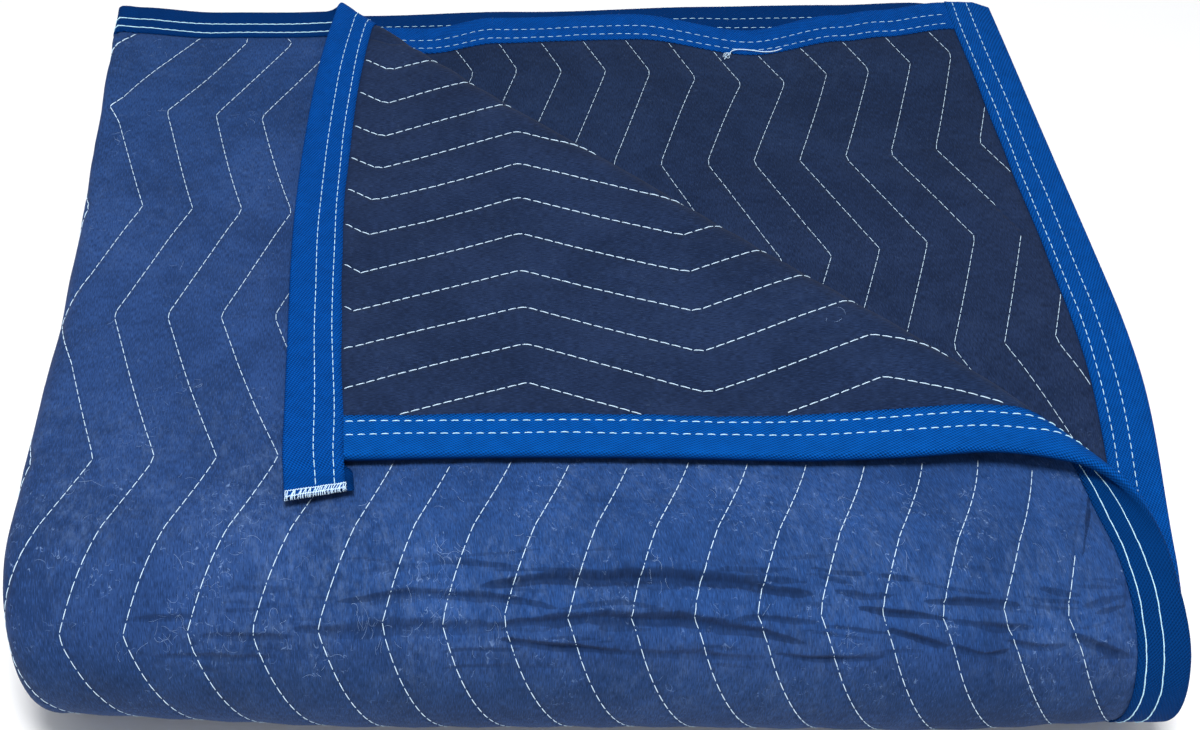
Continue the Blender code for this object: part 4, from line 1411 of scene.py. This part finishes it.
def between(tree, given, low, high, start=0.0, end=1.0):
    """A value carried smoothly from one range to another and held at the ends."""
    node = tree.nodes.new("ShaderNodeMapRange")
    node.interpolation_type = "SMOOTHSTEP"
    node.clamp = True
    for slot, part in zip(node.inputs, (given, low, high, start, end)):
        plug(tree, part, slot)
    return node.outputs[0]


def stretched(tree, place, scale):
    """A place, scaled apart along each of its ways."""
    node = tree.nodes.new("ShaderNodeVectorMath")
    node.operation = "MULTIPLY"
    plug(tree, place, node.inputs[0])
    node.inputs[1].default_value = scale
    return node.outputs[0]


def noise_at(tree, place, scale, detail=2.0, rough=0.5, bend=0.0):
    node = tree.nodes.new("ShaderNodeTexNoise")
    plug(tree, place, node.inputs["Vector"])
    plug(tree, scale, node.inputs["Scale"])
    node.inputs["Detail"].default_value = detail
    node.inputs["Roughness"].default_value = rough
    node.inputs["Distortion"].default_value = bend
    return node.outputs["Fac"]


def parts_of(tree, place):
    """The single values of a place."""
    node = tree.nodes.new("ShaderNodeSeparateXYZ")
    tree.links.new(place, node.inputs[0])
    return node.outputs


def scaled(colour, share, more=0.0):
    """A colour made darker or lighter, as a shader socket takes it."""
    return (*(min(part * share + more, 1.0) for part in colour), 1.0)


def blended(tree, share, first, second, kind="MIX"):
    """Two colours mixed, or the first multiplied by the second."""
    node = tree.nodes.new("ShaderNodeMix")
    node.data_type = "RGBA"
    node.blend_type = kind
    colour_slots = [slot for slot in node.inputs if slot.type == "RGBA"]
    plug(tree, share, node.inputs["Factor"])
    plug(tree, first, colour_slots[0])
    plug(tree, second, colour_slots[1])
    return next(slot for slot in node.outputs if slot.type == "RGBA")


def felt_group():
    """Pressed fibres of the blanket's cloth: a fine height, and soft light and dark patches."""
    group, given, put = new_group(
        "Pressed fibres",
        [("Place", "NodeSocketVector", None)],
        [("Height", "NodeSocketFloat", None), ("Patches", "NodeSocketFloat", None),
         ("Flecks", "NodeSocketFloat", None), ("Yarns", "NodeSocketFloat", None)])
    place = given.outputs["Place"]
    yarns = noise_at(group, stretched(group, place, (1.0, 0.16, 1.0)), 2200.0, rough=0.6)
    crossing = noise_at(group, stretched(group, place, (0.2, 1.0, 1.0)), 1700.0, rough=0.6)
    wide = noise_at(group, place, 260.0, detail=3.0, rough=0.6, bend=0.3)
    woven = times(group, plus(group, yarns, crossing), 0.5)
    height = plus(group, woven, times(group, wide, 0.6))
    group.links.new(height, put.inputs["Height"])
    group.links.new(yarns, put.inputs["Yarns"])
    broad = noise_at(group, place, 17.0, detail=4.0, rough=0.62, bend=0.4)
    small = noise_at(group, place, 90.0, detail=4.0, rough=0.65, bend=0.8)
    patches = plus(group, times(group, broad, 0.6), times(group, small, 0.4))
    group.links.new(patches, put.inputs["Patches"])
    group.links.new(noise_at(group, place, 700.0, rough=0.7), put.inputs["Flecks"])
    return group


# Curly lines of lint: how closely they lie, and how thin they are.
LINT_LINES = [(130.0, 0.010), (260.0, 0.016)]


def lint_group():
    """Fine pale fibres that cling to the cloth, as thin curly lines in loose clouds."""
    group, given, put = new_group(
        "Clinging lint",
        [("Place", "NodeSocketVector", None), ("Amount", "NodeSocketFloat", 0.5)],
        [("Mask", "NodeSocketFloat", None)])
    place = given.outputs["Place"]
    total = None
    for scale, thin in LINT_LINES:
        line = noise_at(group, place, scale, bend=0.5)
        line = value(group, "ABSOLUTE", value(group, "SUBTRACT", line, 0.5))
        line = between(group, line, 0.0, thin, 1.0, 0.0)
        broken = noise_at(group, place, scale * 1.37, detail=1.0)
        line = times(group, line, between(group, broken, 0.52, 0.60))
        cloud = noise_at(group, place, 21.0 + scale * 0.05, detail=3.0, rough=0.6)
        line = times(group, line, between(group, cloud, 0.50, 0.62))
        total = line if total is None else value(group, "MAXIMUM", total, line)
    drawn_out = stretched(group, place, (1.0, 0.5, 1.0))
    haze = noise_at(group, drawn_out, 210.0, detail=8.0, rough=0.82, bend=0.3)
    patch = noise_at(group, place, 14.0, detail=5.0, rough=0.65, bend=0.2)
    haze = times(group, between(group, haze, 0.42, 0.74), between(group, patch, 0.34, 0.66))
    total = plus(group, total, times(group, haze, 0.42), clamp=True)
    group.links.new(times(group, total, given.outputs["Amount"]), put.inputs["Mask"])
    return group


PUCKER_LENGTH = 0.005             # from one small pucker along a quilting line to the next


def seam_group():
    """Where the quilting pulls the cloth down: 1 on a stitched line, and small puckers along it."""
    group, given, put = new_group(
        "Quilted seam",
        [("Count", "NodeSocketFloat", 0.0), ("Along", "NodeSocketFloat", 0.0)],
        [("Dent", "NodeSocketFloat", None), ("Pucker", "NodeSocketFloat", None)])
    count = given.outputs["Count"]
    away = value(group, "PINGPONG", count, 0.5)
    dent = between(group, away, 0.0, 0.085, 1.0, 0.0)
    group.links.new(dent, put.inputs["Dent"])
    near = between(group, away, 0.02, 0.20, 1.0, 0.0)
    turns = times(group, given.outputs["Along"], 2.0 * math.pi / PUCKER_LENGTH)
    group.links.new(times(group, near, value(group, "SINE", turns)), put.inputs["Pucker"])
    return group


def crease_shade_group():
    """Painted shade in a crease: a band with a ragged, nearly sharp edge."""
    group, given, put = new_group(
        "Crease",
        [("Place", "NodeSocketVector", None), ("Creased", "NodeSocketVector", None)],
        [("Shadow", "NodeSocketFloat", None)])
    near, depth, _ = parts_of(group, given.outputs["Creased"])
    place = given.outputs["Place"]
    drawn_out = stretched(group, place, (0.35, 1.0, 1.0))
    ragged = noise_at(group, drawn_out, 420.0, detail=3.0, rough=0.6)
    edge = plus(group, near, times(group, value(group, "SUBTRACT", ragged, 0.5), 0.45))
    band = times(group, between(group, edge, 0.38, 0.62), 0.75)
    soft = plus(group, band, times(group, near, 0.25))
    uneven = noise_at(group, place, 160.0, detail=3.0, rough=0.6)
    dark = times(group, times(group, soft, depth), between(group, uneven, 0.2, 0.8, 0.75, 1.0))
    group.links.new(times(group, dark, 0.72, clamp=True), put.inputs["Shadow"])
    return group


def twill_group():
    """Slanted ribs of a woven tape, broken into single floats of yarn."""
    group, given, put = new_group(
        "Twill weave",
        [("Place", "NodeSocketVector", None), ("Pitch", "NodeSocketFloat", 0.0014)],
        [("Height", "NodeSocketFloat", None), ("Shade", "NodeSocketFloat", None)])
    turns = value(group, "DIVIDE", 2.0 * math.pi, given.outputs["Pitch"])
    split = parts_of(group, given.outputs["Place"])
    along, across = (times(group, split[axis], turns) for axis in (0, 1))
    slant = value(group, "SINE", value(group, "SUBTRACT", along, times(group, across, 0.80)))
    steep = plus(group, times(group, across, 0.95), times(group, along, 0.45))
    floats = value(group, "SINE", steep)
    height = plus(group, times(group, slant, 0.55), times(group, floats, 0.45))
    height = plus(group, height, 1.0)
    group.links.new(height, put.inputs["Height"])
    uneven = noise_at(group, given.outputs["Place"], 120.0, detail=4.0, rough=0.7)
    shade = plus(group, times(group, height, 0.30), times(group, uneven, 0.40))
    group.links.new(shade, put.inputs["Shade"])
    return group


def shared_group(name, build):
    return bpy.data.node_groups.get(name) or build()


def placed(tree, group, **inputs):
    """A group in a material, its inputs given by name."""
    node = tree.nodes.new("ShaderNodeGroup")
    node.node_tree = group
    for label, given in inputs.items():
        plug(tree, given, node.inputs[label])
    return node.outputs


def flat_map(tree, layer):
    node = tree.nodes.new("ShaderNodeUVMap")
    node.uv_map = layer
    return node.outputs["UV"]


def bumped(tree, shader, height, distance):
    node = tree.nodes.new("ShaderNodeBump")
    node.inputs["Strength"].default_value = 1.0
    node.inputs["Distance"].default_value = distance
    tree.links.new(height, node.inputs["Height"])
    tree.links.new(node.outputs["Normal"], shader.inputs["Normal"])


def new_material(name, colour, roughness, sheen=0.0):
    material = bpy.data.materials.new(name)
    material.use_nodes = True
    shader = material.node_tree.nodes["Principled BSDF"]
    shader.inputs["Base Color"].default_value = (*colour, 1.0)
    shader.inputs["Roughness"].default_value = roughness
    shader.inputs["Metallic"].default_value = 0.0
    shader.inputs["Specular IOR Level"].default_value = 0.10
    shader.inputs["Sheen Weight"].default_value = sheen
    shader.inputs["Sheen Roughness"].default_value = 0.5
    return material, material.node_tree, shader


# Zones of the cloth, in lengths along the blanket and across it: at each edge the zone comes
# in from the first length to the second.
# Where fluff gathers, how much of it lies there above the rest, and how much everywhere.
FLUFF = {"along": [(0.27, 0.37), (0.46, 0.40)], "across": [], "more": 1.3, "least": 0.5}
FLUFF_COLOUR = (0.17, 0.27, 0.50)
# Where light and shade are painted into the cloth's colour: brighter over the upper front, darker over
# the lower front and at the back left.
LIT_AND_SHADED_ZONES = [
    {"along": [(0.24, 0.34), (0.425, 0.408)], "across": [(0.44, 0.32)], "light_and_shade_tint": (0.94, 1.13, 1.18)},
    {"along": [(0.412, 0.440)], "across": [], "light_and_shade_tint": (0.79, 0.84, 0.81)},
    {"along": [(0.22, 0.05)], "across": [(0.30, 0.37)], "light_and_shade_tint": (0.80, 0.91, 0.93)},
]
# Dark and pale yarns: where they come in, how strongly, and their colour, as a share of the
# cloth's and a little more.
YARNS = [
    {"from": 0.54, "to": 0.34, "strength": 0.70, "share": 0.5, "more": 0.0},
    {"from": 0.52, "to": 0.70, "strength": 0.60, "share": 1.7, "more": 0.004},
]
# How much each effect raises the cloth, and the height of it all in metres.
CLOTH_BUMP = {"felt": 0.10, "dent": 0.55, "pucker": 0.16, "patches": 0.9, "height": 0.0009}
CREASE_SHADE_COLOUR = 0.26                # colour of the shade painted into a crease, as a share of the cloth's


def zone_mask(tree, across, along, zone):
    """1 inside a zone of the cloth and 0 outside, with soft edges."""
    edges = [between(tree, along, *edge) for edge in zone["along"]]
    edges += [between(tree, across, *edge) for edge in zone["across"]]
    mask = edges[0]
    for edge in edges[1:]:
        mask = times(tree, mask, edge)
    return mask


def cloth_material(name, colour, lint, contrast):
    """Matt pressed cloth, quilted, with soft patches, painted light and shade, and clinging lint."""
    material, tree, shader = new_material(name, colour, 0.95, 0.03)
    place = flat_map(tree, "flat")
    across = parts_of(tree, place)[0]
    count, along, _ = parts_of(tree, flat_map(tree, "quilted"))
    felt = placed(tree, shared_group("Pressed fibres", felt_group), Place=place)
    seam = placed(tree, shared_group("Quilted seam", seam_group), Count=count, Along=along)
    gathered = times(tree, zone_mask(tree, across, along, FLUFF), FLUFF["more"])
    amount = times(tree, plus(tree, gathered, FLUFF["least"]), lint)
    fibres = placed(tree, shared_group("Clinging lint", lint_group), Place=place, Amount=amount)
    deep = scaled(colour, 1.0 - contrast)
    pale = scaled(colour, 1.0 + contrast, 0.012 * contrast)
    base = blended(tree, between(tree, felt["Patches"], 0.36, 0.64), deep, pale)
    flecks = times(tree, between(tree, felt["Flecks"], 0.60, 0.78), 0.25)
    base = blended(tree, flecks, base, pale)
    for yarns in YARNS:
        mask = between(tree, felt["Yarns"], yarns["from"], yarns["to"])
        shade = scaled(colour, yarns["share"], yarns["more"])
        base = blended(tree, times(tree, mask, yarns["strength"]), base, shade)
    # Painted shade in the grooves along the stitched lines
    base = blended(tree, times(tree, seam["Dent"], 0.28), base, deep)
    # Painted light and shade: brighter upper front, darker lower front and back left
    for zone in LIT_AND_SHADED_ZONES:
        mask = zone_mask(tree, across, along, zone)
        base = blended(tree, mask, base, (*zone["light_and_shade_tint"], 1.0), "MULTIPLY")
    base = blended(tree, fibres["Mask"], base, (*FLUFF_COLOUR, 1.0))
    # Painted shade in the creases
    crease = placed(
        tree, shared_group("Crease", crease_shade_group), Place=place,
        Creased=flat_map(tree, "creased"))
    base = blended(tree, crease["Shadow"], base, scaled(colour, CREASE_SHADE_COLOUR))
    tree.links.new(base, shader.inputs["Base Color"])
    height = times(tree, felt["Height"], CLOTH_BUMP["felt"])
    dent = times(tree, seam["Dent"], CLOTH_BUMP["dent"])
    height = value(tree, "SUBTRACT", height, dent)
    height = plus(tree, height, times(tree, seam["Pucker"], CLOTH_BUMP["pucker"]))
    height = plus(tree, height, times(tree, felt["Patches"], CLOTH_BUMP["patches"]))
    bumped(tree, shader, height, CLOTH_BUMP["height"])
    return material


def tape_material(name, colour):
    """Bright woven tape, duller on the half that lies on the blue side."""
    material, tree, shader = new_material(name, colour, 0.75)
    place = flat_map(tree, "flat")
    twill = placed(tree, shared_group("Twill weave", twill_group), Place=place)
    deep, pale = scaled(colour, 0.45), scaled(colour, 1.45)
    base = blended(tree, between(tree, twill["Shade"], 0.15, 0.80), deep, pale)
    blue_side = times(tree, between(tree, parts_of(tree, place)[1], -0.001, 0.001), 0.80)
    base = blended(tree, blue_side, base, scaled(colour, 0.35))
    tree.links.new(base, shader.inputs["Base Color"])
    shader.inputs["Specular IOR Level"].default_value = 0.03
    bumped(tree, shader, twill["Height"], 0.00030)
    return material


def thread_material(name, colour):
    """White thread with duller and brighter places."""
    material, tree, shader = new_material(name, colour, 0.55, 0.2)
    place = tree.nodes.new("ShaderNodeTexCoord").outputs["Object"]
    uneven = between(tree, noise_at(tree, place, 420.0, rough=0.6), 0.35, 0.65)
    base = blended(tree, uneven, scaled(colour, 0.95), scaled(colour, 1.0))
    tree.links.new(base, shader.inputs["Base Color"])
    bumped(tree, shader, noise_at(tree, place, 2400.0, detail=1.0), 0.0002)
    return material


def lint_material():
    """Pale fluff, some of it greyed by dust."""
    material, tree, shader = new_material("lint", (0.22, 0.33, 0.55), 0.8)
    place = tree.nodes.new("ShaderNodeTexCoord").outputs["Object"]
    dusty = between(tree, noise_at(tree, place, 60.0, detail=3.0, rough=0.6), 0.35, 0.65)
    base = blended(tree, dusty, (0.12, 0.20, 0.40, 1.0), (0.33, 0.47, 0.74, 1.0))
    tree.links.new(base, shader.inputs["Base Color"])
    return material


def floor_material(colour):
    """Plain pale floor, very softly clouded."""
    material, tree, shader = new_material("pale_floor", colour, 0.8)
    place = tree.nodes.new("ShaderNodeTexCoord").outputs["Object"]
    cloudy = noise_at(tree, place, 1.5)
    base = blended(tree, cloudy, scaled(colour, 0.985), scaled(colour, 1.0))
    tree.links.new(base, shader.inputs["Base Color"])
    return material


# ---- Operators ----
class Parts:
    """What the operators share while one blanket is built."""

    bundle = None
    threads = {}


def shared_bundle():
    if Parts.bundle is None:
        Parts.bundle = bundle_tree()
    return Parts.bundle


def thread_finish(name, colour):
    if name not in Parts.threads:
        Parts.threads[name] = thread_material(name, colour)
    return Parts.threads[name]


class BLANKET_OT_cloth(Operator):
    """Build the blue face fabric and the navy back fabric"""
    bl_idname = "blanket.cloth"
    bl_label = "Add Cloth"

    def execute(self, context):
        cloth = context.scene.blanket_cloth
        finishes = (
            ("face_cloth", 1.0, cloth_material("blue_cloth", cloth.face_colour, 0.42, 0.22)),
            ("back_cloth", -1.0, cloth_material("navy_cloth", cloth.back_colour, 0.16, 0.20)),
        )
        for name, side, material in finishes:
            piece = make_cloth(name, Skin(side, cloth), shared_bundle(), material)
            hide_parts("quilt")
        return {"FINISHED"}


class BLANKET_OT_tapes(Operator):
    """Build the four binding tapes"""
    bl_idname = "blanket.tapes"
    bl_label = "Add Binding Tapes"

    def execute(self, context):
        settings = context.scene.blanket_tape
        for tape in TAPES:
            # Painted light and shade: each tape's colour darkened or brightened by where it lies
            lit_tape_colour = tuple(part * share for part, share in zip(settings.colour, tape["light_and_shade_tint"]))
            make_tape(tape, settings, tape_material(tape["node"], lit_tape_colour))
        return {"FINISHED"}


class BLANKET_OT_quilting(Operator):
    """Sew the zigzag quilting lines through both fabrics"""
    bl_idname = "blanket.quilting"
    bl_label = "Add Quilting"

    def execute(self, context):
        scene = context.scene
        for name, side in (("quilting_face", 1.0), ("quilting_back", -1.0)):
            skin = Skin(side, scene.blanket_cloth)
            finish = thread_finish("quilting_thread", scene.blanket_thread.colour)
            make_quilting(name, skin, shared_bundle(), scene.blanket_thread, finish)
        return {"FINISHED"}


class BLANKET_OT_tape_stitches(Operator):
    """Sew two rows of stitches through each binding tape"""
    bl_idname = "blanket.tape_stitches"
    bl_label = "Add Tape Stitches"

    def execute(self, context):
        scene = context.scene
        for tape in TAPES:
            name = tape["name"].replace("tape", "stitches")
            finish = thread_finish("tape_thread", scene.blanket_thread.tape_colour)
            make_tape_stitches(
                name, tape, scene.blanket_tape, shared_bundle(), scene.blanket_thread, finish)
        return {"FINISHED"}


class BLANKET_OT_tail_overlock(Operator):
    """Overlock the raw end of the back tape's tail"""
    bl_idname = "blanket.tail_overlock"
    bl_label = "Add Tail Overlock"

    def execute(self, context):
        thread = context.scene.blanket_thread
        make_serging(context.scene.blanket_tape, thread_finish("quilting_thread", thread.colour))
        return {"FINISHED"}


class BLANKET_OT_loose_fibres(Operator):
    """Lay a loose thread on the second ply and scatter lint"""
    bl_idname = "blanket.loose_fibres"
    bl_label = "Add Loose Fibres"

    def execute(self, context):
        scene = context.scene
        make_loose_thread(thread_finish("quilting_thread", scene.blanket_thread.colour))
        cloth = scene.blanket_cloth
        make_lint(cloth.lint_curls, cloth, shared_bundle(), lint_material())
        return {"FINISHED"}


CAMERA = {
    "place": (-0.0927, -0.6070, 0.6720),
    "tilt": math.radians(43.4),   # up from straight down
    "lens": 49.8,
    "sensor": 36.0,
    "shift_x": 0.171,
}
LIGHTS = [
    {"name": "key_light", "place": (-0.10, -0.50, 1.55), "size": 0.4, "share": 1.0},
    {"name": "front_light", "place": (-0.3, -1.9, 0.9), "size": 1.2, "share": 0.06},
    {"name": "back_light", "place": (0.2, 1.6, 1.5), "size": 1.2, "share": 0.04},
]
SKY = {"colour": (0.95, 0.97, 1.0, 1.0), "strength": 0.45}


def make_light(light, power):
    """A soft square lamp that looks at the middle of the bundle."""
    data = bpy.data.lights.new(light["name"], "AREA")
    data.energy = power * light["share"]
    data.size = light["size"]
    lamp = bpy.data.objects.new(light["name"], data)
    lamp.location = light["place"]
    lamp.rotation_euler = (-Vector(light["place"])).to_track_quat("-Z", "Y").to_euler()
    bpy.context.scene.collection.objects.link(lamp)


def make_floor(stage):
    half = stage.floor_size / 2.0
    corners = [(-half, -half, 0.0), (half, -half, 0.0), (half, half, 0.0), (-half, half, 0.0)]
    mesh = bpy.data.meshes.new(FLOOR)
    mesh.from_pydata(corners, [], [(0, 1, 2, 3)])
    mesh.materials.append(floor_material(stage.floor_colour))
    floor = bpy.data.objects.new(FLOOR, mesh)
    bpy.context.scene.collection.objects.link(floor)
    floor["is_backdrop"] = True


def make_sky(scene):
    world = bpy.data.worlds.new("studio")
    world.use_nodes = True
    sky = world.node_tree.nodes["Background"]
    sky.inputs["Color"].default_value = SKY["colour"]
    sky.inputs["Strength"].default_value = SKY["strength"]
    scene.world = world


def make_camera(scene):
    data = bpy.data.cameras.new("camera")
    data.lens, data.sensor_width = CAMERA["lens"], CAMERA["sensor"]
    data.shift_x = CAMERA["shift_x"]
    camera = bpy.data.objects.new("camera", data)
    camera.location = CAMERA["place"]
    camera.rotation_euler = (CAMERA["tilt"], 0.0, 0.0)
    scene.collection.objects.link(camera)
    scene.camera = camera


class BLANKET_OT_stage(Operator):
    """Build the floor, the studio light and the camera"""
    bl_idname = "blanket.stage"
    bl_label = "Add Stage"

    def execute(self, context):
        scene = context.scene
        make_floor(scene.blanket_stage)
        make_sky(scene)
        scene.view_settings.view_transform = "Standard"
        for light in LIGHTS:
            make_light(light, scene.blanket_stage.key_power)
        make_camera(scene)
        return {"FINISHED"}


class BLANKET_PT_sidebar(Panel):
    """Sizes, colours and buttons of the blanket"""
    bl_idname = "BLANKET_PT_sidebar"
    bl_label = "Folded Blanket"
    bl_space_type = "VIEW_3D"
    bl_region_type = "UI"
    bl_category = "Blanket"

    def draw(self, context):
        for name, group in SETTINGS:
            box = self.layout.box()
            box.label(text=group.__name__.replace("Blanket", ""))
            for prop in group.__annotations__:
                box.prop(getattr(context.scene, name), prop)
        for operator in OPERATORS:
            self.layout.operator(operator.bl_idname)


SETTINGS = (
    ("blanket_cloth", BlanketCloth),
    ("blanket_tape", BlanketTape),
    ("blanket_thread", BlanketThread),
    ("blanket_stage", BlanketStage),
)
OPERATORS = (
    BLANKET_OT_stage,
    BLANKET_OT_cloth,
    BLANKET_OT_tapes,
    BLANKET_OT_quilting,
    BLANKET_OT_tape_stitches,
    BLANKET_OT_tail_overlock,
    BLANKET_OT_loose_fibres,
)


def register():
    for name, group in SETTINGS:
        bpy.utils.register_class(group)
        setattr(bpy.types.Scene, name, PointerProperty(type=group))
    for operator in OPERATORS:
        bpy.utils.register_class(operator)
    bpy.utils.register_class(BLANKET_PT_sidebar)


def unregister():
    bpy.utils.unregister_class(BLANKET_PT_sidebar)
    for operator in reversed(OPERATORS):
        bpy.utils.unregister_class(operator)
    for name, group in reversed(SETTINGS):
        delattr(bpy.types.Scene, name)
        bpy.utils.unregister_class(group)


def main():
    register()
    bpy.ops.blanket.stage()
    bpy.ops.blanket.cloth()
    bpy.ops.blanket.tapes()
    bpy.ops.blanket.quilting()
    bpy.ops.blanket.tape_stitches()
    bpy.ops.blanket.tail_overlock()
    bpy.ops.blanket.loose_fibres()
    boxes = {"cad": CAD_BOX, "visual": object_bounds()}
    {name: [list(corner) for corner in box] for name, box in boxes.items()}


if __name__ == "__main__":
    main()
